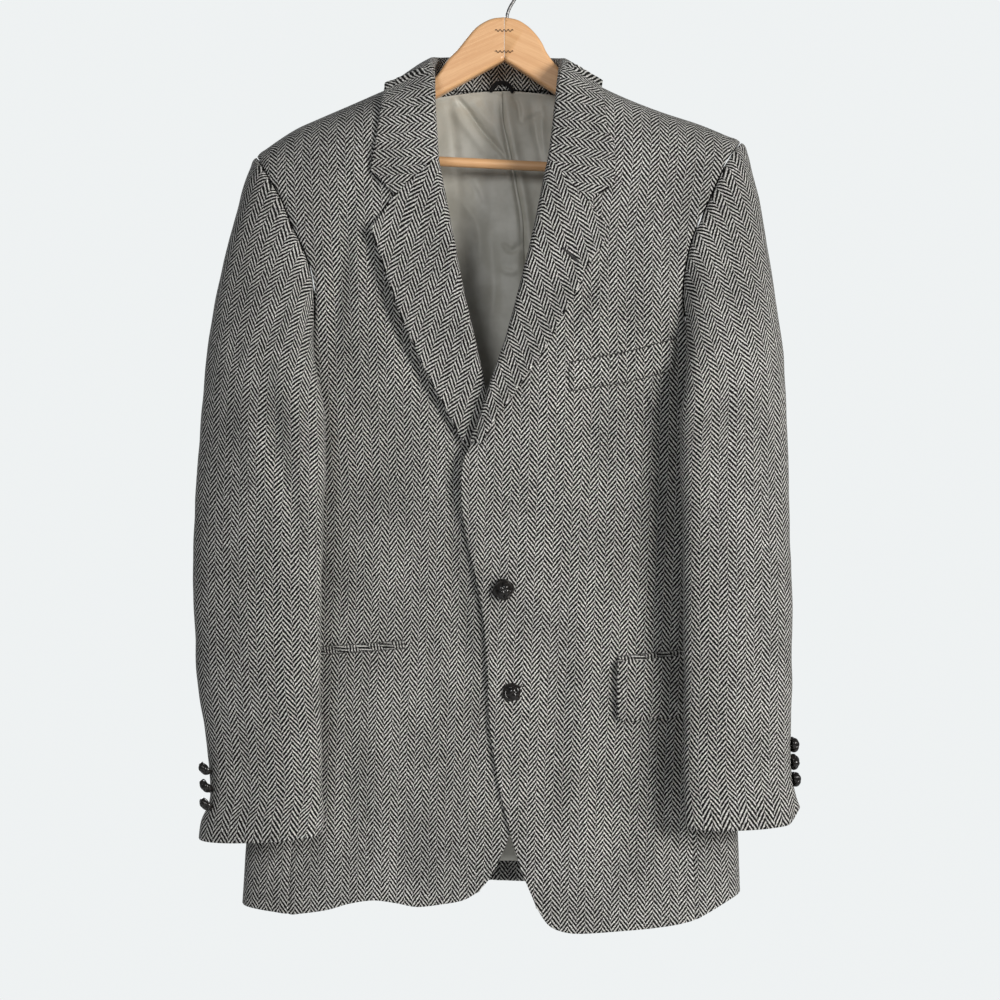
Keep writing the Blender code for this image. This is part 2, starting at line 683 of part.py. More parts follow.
def back_panel(side, name, finish):
    arm = armhole_places(side, "back")
    seam = seam_places(side * BACK_SEAM, BACK_SEAM_TOP, seam_hem(side, "back"), SEAM_ROWS)
    right = np.concatenate([arm, seam[1:]])
    levels = np.concatenate([
        -121 + (BACK_SEAM_TOP + 121) * ARM_SHARES,
        BACK_SEAM_TOP + (CENTRE_HEM - BACK_SEAM_TOP) * SEAM_SHARES[1:],
    ])
    middle = section_at(levels)[0]
    left = np.stack([np.full(len(levels), side * 2.0), place(middle, levels, "back")[1]], axis=-1)
    neck_point, tip = NECK_EDGE[side][0].x, ARMHOLE_BACK[side][0].x
    x = np.concatenate([
        middle[0] + (neck_point - middle[0]) * NECK_COLUMNS,
        np.linspace(neck_point, tip, BACK_COLUMNS + 2 - len(NECK_COLUMNS))[1:],
    ])
    z = np.where(np.abs(x) < abs(neck_point), np.minimum(back_neck(x), shoulder_at(x)), shoulder_at(x))
    top = np.stack(place(x, z, "back"), axis=-1)
    top[0] = left[0]
    right[0] = top[-1]
    turns = np.linspace(side * 2.0, side * BACK_SEAM, BACK_COLUMNS + 1)
    hems = np.linspace(CENTRE_HEM, seam_hem(side, "back"), BACK_COLUMNS + 1)
    bottom = np.array([seam_places(t, h, h - 1, 2)[0] for t, h in zip(turns, hems)])
    bottom[:, 0] = turns
    bottom[0], bottom[-1] = left[-1], right[-1]
    return body_panel(name, patch(left, right, top, bottom), finish)


# ---- sleeves --------------------------------------------------------------------------------
def armhole_ring(side, share):
    """Points on the armhole, and the body's outward directions there.

    share is 0 on the shoulder, 0.25 in front, 0.5 under the arm and 0.75 behind.
    """
    front = armhole_places(side, "front")
    back = armhole_places(side, "back")
    turns = side * np.array(SIDE_TURNS)
    levels = underarm_level(np.abs(turns))
    under = np.array([seam_places(t, z, z - 1, 2)[0] for t, z in zip(turns, levels)])
    half = int(np.argmin(np.abs(np.abs(turns) - 1)))
    share = np.mod(share, 1.0)
    found = np.empty(share.shape + (6,))
    before = np.concatenate([front, under[1 : half + 1]])
    behind = np.concatenate([under[half:], back[::-1][1:]])
    for second, places in enumerate((before, behind)):
        points = body(places[:, 0], places[:, 1])
        normals = body_normal(places[:, 0], places[:, 1])
        both = through(np.concatenate([points, normals * 20], axis=1), np.linspace(0, 1, 120))
        steps = np.linalg.norm(np.diff(both[:, :3], axis=0), axis=1)
        along = np.concatenate([[0], np.cumsum(steps)]) / np.sum(steps)
        mine = (share >= 0.5) == bool(second)
        for k in range(6):
            read = np.interp((share - 0.5 * second) * 2, along, both[:, k])
            found[..., k] = np.where(mine, read, found[..., k])
    normal = found[..., 3:] / np.linalg.norm(found[..., 3:], axis=-1, keepdims=True)
    return found[..., :3], normal


def level_point(turn, z, out):
    """A point at a level, out from the body's ring there."""
    ring = []
    for near in (turn, turn - 0.003, turn + 0.003):
        share = np.where(np.abs(near) > 1, 2 - np.abs(near), np.abs(near))
        middle, half_width, front, back = section_at(z)
        x = middle + half_width * np.interp(share, RING_ALONG, RING_OUT) * np.sign(near)
        y = np.where(np.abs(near) > 1, back, -front) * np.interp(share, RING_ALONG, RING_DEEP)
        ring.append(np.stack([x, y], axis=-1))
    along = ring[2] - ring[1]
    normal = np.stack([along[..., 1], -along[..., 0]], axis=-1)
    normal /= np.linalg.norm(normal, axis=-1, keepdims=True)
    point = ring[0] + normal * np.asarray(out)[..., None]
    return np.concatenate([point, np.asarray(z)[..., None]], axis=-1)


def level_place(side, point):
    """The turn of the nearest point of the body's ring at a point's level, and its distance."""
    turns = side * np.linspace(0.3, 1.5, 700)
    ring = level_point(turns, np.full(turns.shape, point[2]), np.zeros(turns.shape))
    away = np.linalg.norm(ring[:, :2] - point[:2], axis=1)
    nearest = int(np.argmin(away))
    return turns[nearest], away[nearest]


def sleeve_ring(side, row, share):
    """One level ring of a sleeve, whose outer end is at the shoulder's share."""
    angle = 2 * math.pi * share + math.radians(RING_TWIST) * np.sin(math.pi * share) ** 2
    tilt = math.radians(row.tilt)
    half = abs(row.outer - row.inner) / 2
    reach = math.sqrt(half**2 - (row.half_depth * math.sin(tilt)) ** 2) / math.cos(tilt)
    power = 2 / 2.2
    cosine, sine = np.cos(angle), np.sin(angle)
    long_way = reach * np.sign(cosine) * np.abs(cosine) ** power
    short_way = row.half_depth * np.sign(sine) * np.abs(sine) ** power
    x = (row.outer + row.inner) / 2 + side * (long_way * math.cos(tilt) + short_way * math.sin(tilt))
    y = row.y + long_way * math.sin(tilt) - short_way * math.cos(tilt)
    z = row.z + row.rise / 2 * cosine
    if row is SLEEVE_RINGS[side][-1]:
        z = z - CUFF_DIP * sine + CUFF_CORNER[side] * ease(cosine, 0.7, 1)
    return np.stack([x, y, z], axis=-1)


HeadShape = namedtuple("HeadShape", "share outwards inwards start")
# How a sleeve leaves its armhole: the parts of its direction out of the cloth and into the
# hole, and how far it keeps that direction.
HEAD_SHAPE = [
    HeadShape(0.0, 0.45, 1.0, 34),
    HeadShape(0.12, 0.7, 0.8, 44),
    HeadShape(0.27, 1.0, 0.6, 46),
    HeadShape(0.4, 1.0, -0.2, 30),
    HeadShape(0.5, 1.0, -0.8, 24),
    HeadShape(0.6, 1.0, -0.5, 26),
    HeadShape(0.75, 1.0, 0.4, 40),
    HeadShape(0.88, 0.7, 0.8, 44),
    HeadShape(1.0, 0.45, 1.0, 34),
]
HEAD_STEPS = (0, 0.035, 0.09, 0.17, 0.27, 0.39, 0.53, 0.68, 0.84)
RING_STEPS = 9


def sleeve_surface(side, share):
    """Rows of the sleeve's surface, at shares round it, from its armhole to its hem."""
    share = np.asarray(share, float)
    start, normal = armhole_ring(side, share)
    middle = armhole_ring(side, np.linspace(0, 0.98, 50))[0].mean(axis=0)
    tangent = armhole_ring(side, share + 0.004)[0] - armhole_ring(side, share - 0.004)[0]
    into = np.cross(tangent, normal)
    into /= np.linalg.norm(into, axis=-1, keepdims=True)
    into *= np.sign(np.sum(into * (middle - start), axis=-1, keepdims=True))
    at = np.mod(share, 1.0)
    low = ease(at, 0.3, 0.42) * (1 - ease(at, 0.72, 0.86))
    start = start + into * ARMHOLE_GAP + normal * (UNDERARM_OUT * low)[:, None]
    keys = [row.share for row in HEAD_SHAPE]
    outwards, inwards, reach = (
        smooth(keys, [row[k] for row in HEAD_SHAPE], at)[:, None] for k in (1, 2, 3)
    )
    leave = normal * outwards + into * inwards
    leave *= reach / np.linalg.norm(leave, axis=-1, keepdims=True)
    rings = np.array([sleeve_ring(side, row, share) for row in SLEEVE_RINGS[side]])
    arrive = rings[1] - rings[0]
    arrive *= 0.85 * np.linalg.norm(rings[0] - start, axis=-1, keepdims=True) / np.linalg.norm(
        arrive, axis=-1, keepdims=True
    )
    ends = [[level_place(side, point) for point in line] for line in (start, rings[0])]
    (turn_a, out_a), (turn_b, out_b) = (np.array(end).T for end in ends)
    rows = []
    for v in HEAD_STEPS:
        free = (
            start * (1 + 2 * v) * (1 - v) ** 2 + leave * v * (1 - v) ** 2
            + rings[0] * v * v * (3 - 2 * v) - arrive * v * v * (1 - v)
        )
        round_side = ease(v, 0, 1)
        level = start[:, 2] + (rings[0][:, 2] - start[:, 2]) * v
        held = level_point(
            turn_a + (turn_b - turn_a) * round_side, level, out_a + (out_b - out_a) * round_side
        )
        rows.append(free + (held - free) * (low * ease(v, 0, 0.05))[:, None])
    for v in np.linspace(0, 1, RING_STEPS):
        rows.append(through(rings, v)[0])
    return np.array(rows)


def sleeve_piece(side, name, shares, finish, rows=(0, None)):
    """A wall round a part of a sleeve, from one of its rows down to another or to its hem."""
    shares = np.asarray(shares)
    step = 0.004
    round_it = sleeve_surface(side, shares + step) - sleeve_surface(side, shares - step)
    grid = sleeve_surface(side, shares)
    normal = np.cross(round_it, np.gradient(grid, axis=0))
    normal *= side / np.linalg.norm(normal, axis=-1, keepdims=True)
    for _ in range(2):
        normal[1:-1] = normal[:-2] + 2 * normal[1:-1] + normal[2:]
        normal /= np.linalg.norm(normal, axis=-1, keepdims=True)
    grid = draw_in(grid, sides="lr")
    low = ease(np.mod(shares, 1.0), 0.34, 0.44) * (1 - ease(np.mod(shares, 1.0), 0.7, 0.84))
    near = 1 - ease(np.arange(len(grid)), 5, len(HEAD_STEPS) + 2)
    thickness = TWEED - UNDERARM_THINNER * near[:, None] * low
    first, last = rows
    mine = slice(first, None if last is None else last + 1)
    outer = draw_in(grid[mine], sides=("t" if first else "") + ("b" if last else ""))
    return wall(name, outer, outer - (normal * thickness[..., None])[mine], finish)


# ---- collar and lapels ------------------------------------------------------------------
def off_body(points, least):
    """Moves points that are nearer to the body than that, or inside it, out of it."""
    points = points.copy()
    for _ in range(3):
        x, y, z = points[..., 0], points[..., 1], points[..., 2]
        surface, normal = np.empty_like(points), np.empty_like(points)
        for face, mine in (("front", y <= 0), ("back", y > 0)):
            turn, down = place(x, z, face)
            surface[mine] = body(turn, down)[mine]
            normal[mine] = body_normal(turn, down)[mine]
        height = np.sum((points - surface) * normal, axis=-1)
        points += normal * np.maximum(least - height, 0)[..., None]
    return points


def fold_in_cloth(side, roll_x, roll_z):
    """Inside, crest and outside of a fold that turns round the edge of a front."""
    found = []
    for angle in (-90, -45, 0, 45, 90):
        turn = math.radians(angle)
        inset = ROLL * (1 - math.cos(turn))
        found.append(on_body(roll_x + side * inset, roll_z, -TWEED / 2 + ROLL * math.sin(turn)))
    return found


def collar_section(row, previous, following, end):
    """The points of the collar's face at one station: neck, stand, fold, leaf and edge."""
    side = -1 if row.neck_x < NECK_CENTRE_X else 1
    edge = on_body(row.edge_x, row.edge_z, LAPEL_OUT, row.face)
    if row.fold_z < LOWEST_STAND:
        neck = on_body(row.fold_x + side * (ROLL + COLLAR_TAIL), row.fold_z, -ROLL - TWEED / 2)
        folded = fold_in_cloth(side, row.fold_x, row.fold_z)
        gorge = on_body(*(folded[-1] + (edge - folded[-1]) * 0.3)[[0, 2]], LAPEL_OUT + 0.6)
        inner = on_body(*(folded[-1] + (edge - folded[-1]) * 0.66)[[0, 2]], LAPEL_OUT)
        if end is not None:
            gorge = on_body(end.gorge_x, end.gorge_z, LAPEL_OUT)
            inner = on_body(end.inner_x, end.inner_z, LAPEL_OUT)
        return np.array([neck] + folded + [gorge, inner, edge])
    neck = on_body(row.neck_x, row.neck_z, -row.tuck, row.face)
    fold = np.array([row.fold_x, row.fold_y, row.fold_z], float)
    along = np.array(following[:3], float) - np.array(previous[:3], float)
    along /= np.linalg.norm(along)
    crest = fold - (neck + edge) / 2
    crest -= along * np.dot(crest, along)
    crest /= np.linalg.norm(crest)
    across = np.cross(along, crest)
    across *= np.sign(np.dot(across, body_normal(*place(row.neck_x, row.neck_z, row.face))))
    centre = fold - ROLL * crest
    turns = np.radians([-80, -42, 0, 42, 80])
    folded = [centre + ROLL * (crest * math.cos(t) + across * math.sin(t)) for t in turns]
    gorge = folded[-1] + (edge - folded[-1]) * 0.3 + across * 2.0 + crest
    inner = folded[-1] + (edge - folded[-1]) * 0.66 + across * 2.0
    return np.array([neck] + folded + [gorge, inner, edge])


COLLAR_STEPS = 34


def collar_grid(stations):
    """Rows of the collar's face, one for each share of the way round the neck."""
    sections = []
    for i, row in enumerate(COLLAR):
        before, after = COLLAR[max(i - 1, 0)], COLLAR[min(i + 1, len(COLLAR) - 1)]
        end = NOTCH[-1] if i == 0 else NOTCH[1] if i == len(COLLAR) - 1 else None
        sections.append(collar_section(row, before, after, end))
    grid = []
    for row in through(np.array(sections), stations):
        stand = [row[0] + (row[1] - row[0]) * t for t in (0, 0.33, 0.67)]
        leaf = [row[5] + (row[6] - row[5]) * t for t in (0.5, 1.0)]
        leaf += [row[6] + (row[7] - row[6]) * t for t in (0.5, 1.0)]
        leaf += [row[7] + (row[8] - row[7]) * t for t in (0.5, 1.0)]
        grid.append(stand + list(row[1:6]) + list(off_body(np.array(leaf), LAPEL_OUT)))
    return np.array(grid)


def flat_piece_normals(grid, like):
    """The directions out of a grid's face, on the side that like points to at its middle."""
    n = grid_normals(grid)
    r, c = grid.shape[0] // 2, grid.shape[1] - 2
    return n * np.sign(np.dot(n[r, c], like))


def collar(name, finish):
    stations = np.linspace(0, 1, COLLAR_STEPS + 1)
    grid = collar_grid(stations)
    normal = flat_piece_normals(grid, (0, 1, 0))
    grid = draw_in(grid, sides="tb")
    return wall(name, grid, grid - normal * TWEED, finish)


def lapel_grid(side, stations, leaf_columns=6):
    """The face of a lapel: tail, fold and leaf, from the gorge down to the break."""
    rows = np.array([tuple(r) for r in LAPEL[side]], float)
    notch = NOTCH[side]
    cut = through(rows, stations)
    lift = lap_lift if side == 1 else (lambda x, z: 0 * x)
    middle = -TWEED / 2
    deep = ROLL - middle
    grid = []
    for v, (roll_x, roll_z, edge_x, edge_z) in zip(stations, cut):
        line = []
        for inset, out in ((ROLL + TAIL * (1 - v * 0.7), -deep), (ROLL, -deep)):
            line.append((roll_x + side * inset, roll_z, out))
        for angle in (-45, 0, 45):
            turn = math.radians(angle)
            inset = ROLL * (1 - math.cos(turn))
            line.append((roll_x + side * inset, roll_z, middle + ROLL * math.sin(turn)))
        start = np.array([roll_x + side * ROLL, roll_z])
        stop = np.array([edge_x, edge_z])
        for t in np.linspace(0, 1, leaf_columns):
            at = start + (stop - start) * t
            line.append((at[0], at[1], LAPEL_OUT + 1.2 * (1 - t) ** 2 * (1 - v)))
        grid.append(line)
    grid = np.array(grid)
    gorge, inner = (notch.gorge_x, notch.gorge_z), (notch.inner_x, notch.inner_z)
    first = np.array([gorge, inner, tuple(rows[0, 2:])])
    path = np.concatenate([grid[0, 5:6, :2], first])
    along = np.concatenate([[0], np.cumsum(np.linalg.norm(np.diff(path, axis=0), axis=1))])
    spaced = np.linspace(0, along[2], leaf_columns - 2)
    spaced = np.concatenate([spaced, [(along[2] + along[3]) / 2, along[3]]])
    wanted = np.stack([np.interp(spaced, along, path[:, k]) for k in range(2)], axis=-1)
    change = wanted - grid[0, 5:, :2]
    fade = np.clip(1 - np.linalg.norm(cut[:, :2] - cut[0, :2], axis=1) / 55, 0, 1)
    grid[:, 5:, :2] += fade[:, None, None] * change
    lifted = grid[..., 2] + lift(grid[..., 0], grid[..., 1])
    return on_body(grid[..., 0], grid[..., 1], lifted)


LAPEL_STEPS = 15


def lapel(side, name, finish):
    stations = np.linspace(0, 1, LAPEL_STEPS + 1)
    grid = lapel_grid(side, stations)
    normal = flat_piece_normals(grid, (0, -1, 0))
    grid = draw_in(grid, sides="t")
    return wall(name, grid, grid - normal * TWEED, finish)


# ---- pieces laid on the fronts ---------------------------------------------------------
def laid_band(name, x, top, bottom, finish, thickness, rise=0.0, rows=1):
    """A band that lies on a front between two lines, a little above its cloth."""
    x, top, bottom = (np.asarray(s, float) for s in (x, top, bottom))
    t = np.linspace(0, 1, rows + 1)[:, None]
    z = top * (1 - t) + bottom * t
    x = np.broadcast_to(x, z.shape)
    out = SEAM_GAP + rise + lap_lift(x, z) * (x[0, 0] > 0)
    turn, down = place(x, z)
    outer, inner = lay(turn, down, out + thickness), lay(turn, down, out)
    return wall(name, outer, inner, finish)


def table_lines(rows, count):
    x = np.linspace(rows[0].x, rows[-1].x, count)
    top = smooth([r.x for r in rows], [r.top for r in rows], x)
    bottom = smooth([r.x for r in rows], [r.bottom for r in rows], x)
    return x, top, bottom


def pockets(tweed):
    laid_band("breast_welt", *table_lines(WELT, 9), tweed, 2.0, rise=0.5, rows=2)
    for side, word in ((-1, "right"), (1, "left")):
        near, far = HIP_MOUTH[side]
        x = np.linspace(near.x, far.x, 11)
        mouth = np.linspace(near.z, far.z, 11)
        laid_band(f"hip_jet_upper_{word}", x, mouth + JET_HEIGHT, mouth + 0.2, tweed, JET, rise=0.6)
        laid_band(f"hip_jet_lower_{word}", x, mouth - 0.2, mouth - JET_HEIGHT, tweed, JET, rise=0.6)
    x, top, bottom = table_lines(FLAP, 11)
    laid_band("hip_flap_left", x, top, bottom, tweed, 2.4, rise=JET + 1.0, rows=3)


# ---- buttons ------------------------------------------------------------------------------
def knot_button(name, centre, facing, diameter, finish, turn=0.0, dome=0.5):
    """A knob of leather straps plaited over one another, with a flat back."""
    around, up = 16, 6
    facing = np.asarray(facing, float) / np.linalg.norm(facing)
    side = np.cross(facing, (0.0, 0.0, 1.0))
    side /= np.linalg.norm(side)
    top = np.cross(side, facing)
    radius, height = diameter / 2, diameter * dome
    points = [np.zeros(3)]
    for ring in range(1, up + 1):
        rise = ring / up
        for k in range(around):
            angle = 2 * math.pi * k / around + turn
            width = math.sin(math.pi * (0.15 + 0.7 * rise)) ** 0.6
            width = width * (1 - 0.45 * ease(rise, 0.65, 1.0))
            strap = 1 + 0.07 * math.cos(4 * angle + 2.2 * rise) * (0.3 + 0.7 * math.sin(math.pi * rise))
            flat = (math.cos(angle) * side + math.sin(angle) * top) * radius * width * strap
            points.append(flat * (0.8 if ring == 1 else 1) + facing * height * (rise - 1 / up) * 1.2)
    points.append(facing * height * 1.08)
    points = np.array(points) + np.asarray(centre)
    faces = [(0, 1 + (k + 1) % around, 1 + k) for k in range(around)]
    for ring in range(up - 1):
        low, high = 1 + ring * around, 1 + (ring + 1) * around
        for k in range(around):
            n = (k + 1) % around
            faces.append((low + k, low + n, high + n, high + k))
    last = len(points) - 1
    faces += [(last, last - around + k, last - around + (k + 1) % around) for k in range(around)]
    return add(name, points, faces, finish)


# Level of the three buttons of each cuff, their share round the sleeve, how far their backs
# stand off the cloth, and the way they face.
CUFF_BUTTON_LEVELS = {-1: (-781.5, -798, -815), 1: (-761.5, -778, -794.5)}
CUFF_BUTTON_SHARE = {-1: 0.07, 1: 0.02}
CUFF_BUTTON_OFF = {-1: 4.8, 1: 1.0}
CUFF_BUTTON_FACING = {-1: (-0.68, -0.12, -0.72), 1: (1.0, 0.25, 0.1)}
CUFF_DOME = 0.36  # height of a cuff button's dome, as a part of its width


def buttons(leather):
    for word, x, z in (("upper", -0.5, -613.7), ("lower", 8.2, -711.5)):
        turn, down = place(x, z)
        lift = float(lap_lift(x, z)) + SEAM_GAP + 0.2
        normal = body_normal(turn, down)
        centre = lay(turn, down, lift)
        facing = normal if word == "upper" else normal + np.array([0.35, 0, 0.2])
        if word == "lower":
            centre = lay(turn, down, lift + 3.6)
        knot_button(f"front_button_{word}", centre, facing, FRONT_BUTTON, leather, turn=0.4)
    for side, word in ((-1, "right"), (1, "left")):
        around = CUFF_BUTTON_SHARE[side] + np.array([-0.005, 0, 0.005])
        lines = sleeve_surface(side, around)[len(HEAD_STEPS) :]
        for k, level in enumerate(CUFF_BUTTON_LEVELS[side]):
            near, centre, far = (
                np.array([smooth(line[:, 2], line[:, i], level) for i in range(3)])
                for line in lines.swapaxes(0, 1)
            )
            out = np.cross(far - near, (0.0, 0.0, 1.0))
            out *= np.sign(out[0]) * side / np.linalg.norm(out)
            centre = centre + out * CUFF_BUTTON_OFF[side]
            facing = CUFF_BUTTON_FACING[side]
            name = f"cuff_button_{word}_{k + 1}"
            knot_button(name, centre, facing, CUFF_BUTTON, leather, turn=0.9 * k, dome=CUFF_DOME)


# ---- lining, hem and loop -------------------------------------------------------------
# Columns of the lining from its right edge to its left one; the pleat's step is at 0.
LINING_COLUMNS = [
    *(-1, -0.8, -0.6, -0.42, -0.27, -0.14, -0.04),
    *(0.0, 0.012, 0.1, 0.22, 0.36, 0.55, 0.78, 1),
]


def inside_back(satin, tweed):
    """The back's lining with its middle pleat, and the turned-up hem under it."""
    # The two halves of the back meet at turn 2, so the lining's columns are laid out by x.
    heights = np.concatenate([np.linspace(0, 0.4, 9), np.linspace(0.4, 1, 10)[1:]])
    columns = np.array(LINING_COLUMNS)
    outer, inner = [], []
    for h in heights:
        z = -124 + (-884 + 124) * h
        pleat = float(smooth([p.z for p in PLEAT], [p.x for p in PLEAT], z))
        half = 70 + (150 - 70) * float(ease(h, 0.0, 0.28)) + 40 * float(ease(h, 0.3, 1.0))
        x = pleat * (1 - np.abs(columns)) + half * columns
        level = z - 6 * (np.abs(columns) ** 2) * (1 - h)
        step = PLEAT_STEP * np.where(columns <= 0, 1 - ease(-columns, 0.0, 0.3), 0)
        out = -(2 * TWEED + 2 * SEAM_GAP + 0.6) - 1.4 * math.sin(math.pi * min(h * 3, 1)) - step
        points = on_body(x, level, out - SATIN, "back")
        outer.append(points)
        inner.append(on_body(x, level, out, "back"))
    wall("back_lining", np.array(outer), np.array(inner), satin)
    x = np.linspace(-186, 160, 15)
    hem_levels = (BACK_SEAM_HEM[-1], CENTRE_HEM, BACK_SEAM_HEM[1])
    bottom = np.interp(x, (-190, NECK_CENTRE_X, 170), hem_levels) + 1
    levels = np.stack([bottom + 34, bottom + 17, bottom])
    x = np.broadcast_to(x, levels.shape)
    out = -(TWEED + SEAM_GAP)
    wall(
        "back_hem_facing",
        on_body(x, levels, out - FACING, "back"),
        on_body(x, levels, out, "back"),
        tweed,
    )


def tube(name, line, radius, sides, finish):
    """A round wire or cord along a line of points, with flat ends."""
    line = np.asarray(line, float)
    way = np.gradient(line, axis=0)
    way /= np.linalg.norm(way, axis=1, keepdims=True)
    points = []
    across = np.array([0.0, 1.0, 0.0])
    for centre, direction in zip(line, way):
        across = across - direction * np.dot(across, direction)
        across /= np.linalg.norm(across)
        other = np.cross(direction, across)
        for k in range(sides):
            angle = 2 * math.pi * k / sides
            points.append(centre + radius * (math.cos(angle) * across + math.sin(angle) * other))
    faces = [tuple(range(sides))[::-1], tuple(range((len(line) - 1) * sides, len(line) * sides))]
    for r in range(len(line) - 1):
        for k in range(sides):
            n = (k + 1) % sides
            faces.append((r * sides + k, r * sides + n, (r + 1) * sides + n, (r + 1) * sides + k))
    return add(name, points, faces, finish, angle=60)


LOOP_RADIUS = 1.5
# The cord's line, x, y and z, from one stitched end over to the other.
LOOP_LINE = [
    [-12.5, 31.5, -125.5],
    [-10, 30.8, -121],
    [-5, 30.6, -118.2],
    [1, 30.6, -118.4],
    [5.5, 30.8, -121.2],
    [8, 31.5, -126],
]


def hanger_loop(cord):
    line = through(np.array(LOOP_LINE), np.linspace(0, 1, 15))
    tube("hanger_loop", line, LOOP_RADIUS, 8, cord)


# ---- the hanger -----------------------------------------------------------------------------
def arm(name, outline, wood):
    """A flat wooden arm cut to an outline, with its edges eased."""
    half = WOOD_DEPTH / 2
    inset = WOOD_EDGE
    outline = np.array([(p.x, p.z) for p in outline], float)
    step = np.roll(outline, -1, axis=0) - np.roll(outline, 1, axis=0)
    step /= np.linalg.norm(step, axis=1, keepdims=True)
    following = np.roll(outline, -1, axis=0)
    area = np.sum(outline[:, 0] * following[:, 1] - following[:, 0] * outline[:, 1])
    inward = np.stack([-step[:, 1], step[:, 0]], axis=1) * np.sign(area)
    keep = (np.abs(outline[:, 0] - WOOD_JOINT) > 1.0)[:, None]
    small = outline + inward * inset * keep
    small[~keep[:, 0], 1] += inward[~keep[:, 0], 1] * inset
    loops = [(small, -half), (outline, -half + inset), (outline, half - inset), (small, half)]
    points = [(x, y, z) for loop, y in loops for x, z in loop]
    n = len(outline)
    faces = [tuple(range(n)), tuple(range(3 * n, 4 * n))[::-1]]
    for layer in range(3):
        for k in range(n):
            m = (k + 1) % n
            faces.append((layer * n + k, layer * n + m, (layer + 1) * n + m, (layer + 1) * n + k))
    return add(name, points, faces, wood, angle=30)


def hanger(wood, steel, dark_steel):
    gap = SEAM_GAP / 2
    for name, top, low, sign in (
        ("hanger_arm_left", LEFT_ARM_TOP, LEFT_ARM_LOW, 1),
        ("hanger_arm_right", RIGHT_ARM_TOP, RIGHT_ARM_LOW, -1),
    ):
        rows = top + low
        rows = [Edge(r.x + sign * gap if abs(r.x - WOOD_JOINT) < 0.5 else r.x, r.z) for r in rows]
        arm(name, rows, wood)
    near, far = BAR_ENDS
    tube("hanger_bar", [(near.x, 0, near.z), (far.x, 0, far.z)], BAR_RADIUS, 14, wood)
    for word, level in FASTENERS.items():
        x = np.linspace(WOOD_JOINT - 8.6, WOOD_JOINT + 8.6, 19)
        z = level + 0.9 * np.cos((x - WOOD_JOINT) * 2 * math.pi / 3.9)
        y = -WOOD_DEPTH / 2 - SEAM_GAP
        outer = np.stack([[(a, y - 0.4, b + half) for a, b in zip(x, z)] for half in (0.4, -0.4)])
        inner = outer + np.array([0, 0.4, 0])
        wall(f"hanger_fastener_{word}", outer, inner, dark_steel)
    radius = HOOK_INSIDE + WIRE_RADIUS
    stem = [(3.0, 0, -60.4), (3.6, 0, -56), (6.0, 0, -50), (10.2, 0, -43), (14.6, 0, -35.5)]
    bow = [
        (radius * math.cos(a), 0, -HOOK_INSIDE + radius * math.sin(a))
        for a in np.radians(np.arange(-25, 206, 16.5))
    ]
    tube("hanger_hook", through(stem + bow, np.linspace(0, 1, 36)), WIRE_RADIUS, 10, steel)


def build():
    for old in list(bpy.data.objects):
        bpy.data.objects.remove(old, do_unlink=True)
    tweed = material("tweed", (0.17, 0.165, 0.155), 0.92)
    satin = material("lining_satin", (0.36, 0.34, 0.28), 0.45)
    leather = material("knotted_leather", (0.02, 0.014, 0.01), 0.4)
    cord = material("loop_cord", (0.012, 0.012, 0.012), 0.7)
    wood = material("hanger_wood", (0.68, 0.36, 0.14), 0.5)
    steel = material("hook_steel", (0.16, 0.16, 0.17), 0.35, 1.0)
    dark_steel = material("fastener_steel", (0.08, 0.05, 0.03), 0.5, 1.0)

    for side, word in ((-1, "right"), (1, "left")):
        front_panel(side, f"front_{word}", tweed)
        side_panel(side, f"side_{word}", tweed)
        back_panel(side, f"back_{word}", tweed)
        top_shares = np.linspace(HIND_SEAM - 1, FORE_SEAM, 10)
        sleeve_piece(side, f"sleeve_top_{word}", top_shares, tweed, rows=(0, ELBOW_ROW))
        sleeve_piece(side, f"sleeve_forearm_{word}", top_shares, tweed, rows=(ELBOW_ROW, None))
        sleeve_piece(side, f"sleeve_under_{word}", UNDER_SHARES, tweed)
        lapel(side, f"lapel_{word}", tweed)
    collar("collar", tweed)
    pockets(tweed)
    buttons(leather)
    inside_back(satin, tweed)
    hanger_loop(cord)
    hanger(wood, steel, dark_steel)


build()
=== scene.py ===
import math

import bmesh
import bpy
import mathutils
import mathutils.bvhtree
import numpy as np
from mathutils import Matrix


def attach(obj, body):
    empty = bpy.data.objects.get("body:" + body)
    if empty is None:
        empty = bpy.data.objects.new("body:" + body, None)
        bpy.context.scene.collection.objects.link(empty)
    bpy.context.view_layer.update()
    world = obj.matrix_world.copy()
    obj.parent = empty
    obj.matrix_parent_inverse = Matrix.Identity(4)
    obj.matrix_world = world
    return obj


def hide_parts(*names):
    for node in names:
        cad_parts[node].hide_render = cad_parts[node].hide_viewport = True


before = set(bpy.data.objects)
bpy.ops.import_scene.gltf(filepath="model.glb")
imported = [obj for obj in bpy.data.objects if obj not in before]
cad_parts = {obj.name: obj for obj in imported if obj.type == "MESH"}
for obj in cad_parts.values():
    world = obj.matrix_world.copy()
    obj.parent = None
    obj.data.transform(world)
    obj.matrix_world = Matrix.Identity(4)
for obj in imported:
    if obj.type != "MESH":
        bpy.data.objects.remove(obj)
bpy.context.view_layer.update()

# A tweed jacket on a flat wooden hanger. Its front faces -Y, the wearer's left is at +X, and
# tables and sizes are in millimetres until a mesh is made. Sides are -1, the wearer's right,
# and 1, the left.

mm = 0.001
print("stage: frame loaded,", len(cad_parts), "nodes")

# The camera stands level with the middle of the jacket, 2.25 m in front of the hanger.
cameraSet = dict(place=(-0.0038, -2.25, -0.529), lens=83.37, sensor=36.0)


def added(name, data):
    made = bpy.data.objects.new(name, data)
    bpy.context.scene.collection.objects.link(made)
    return made


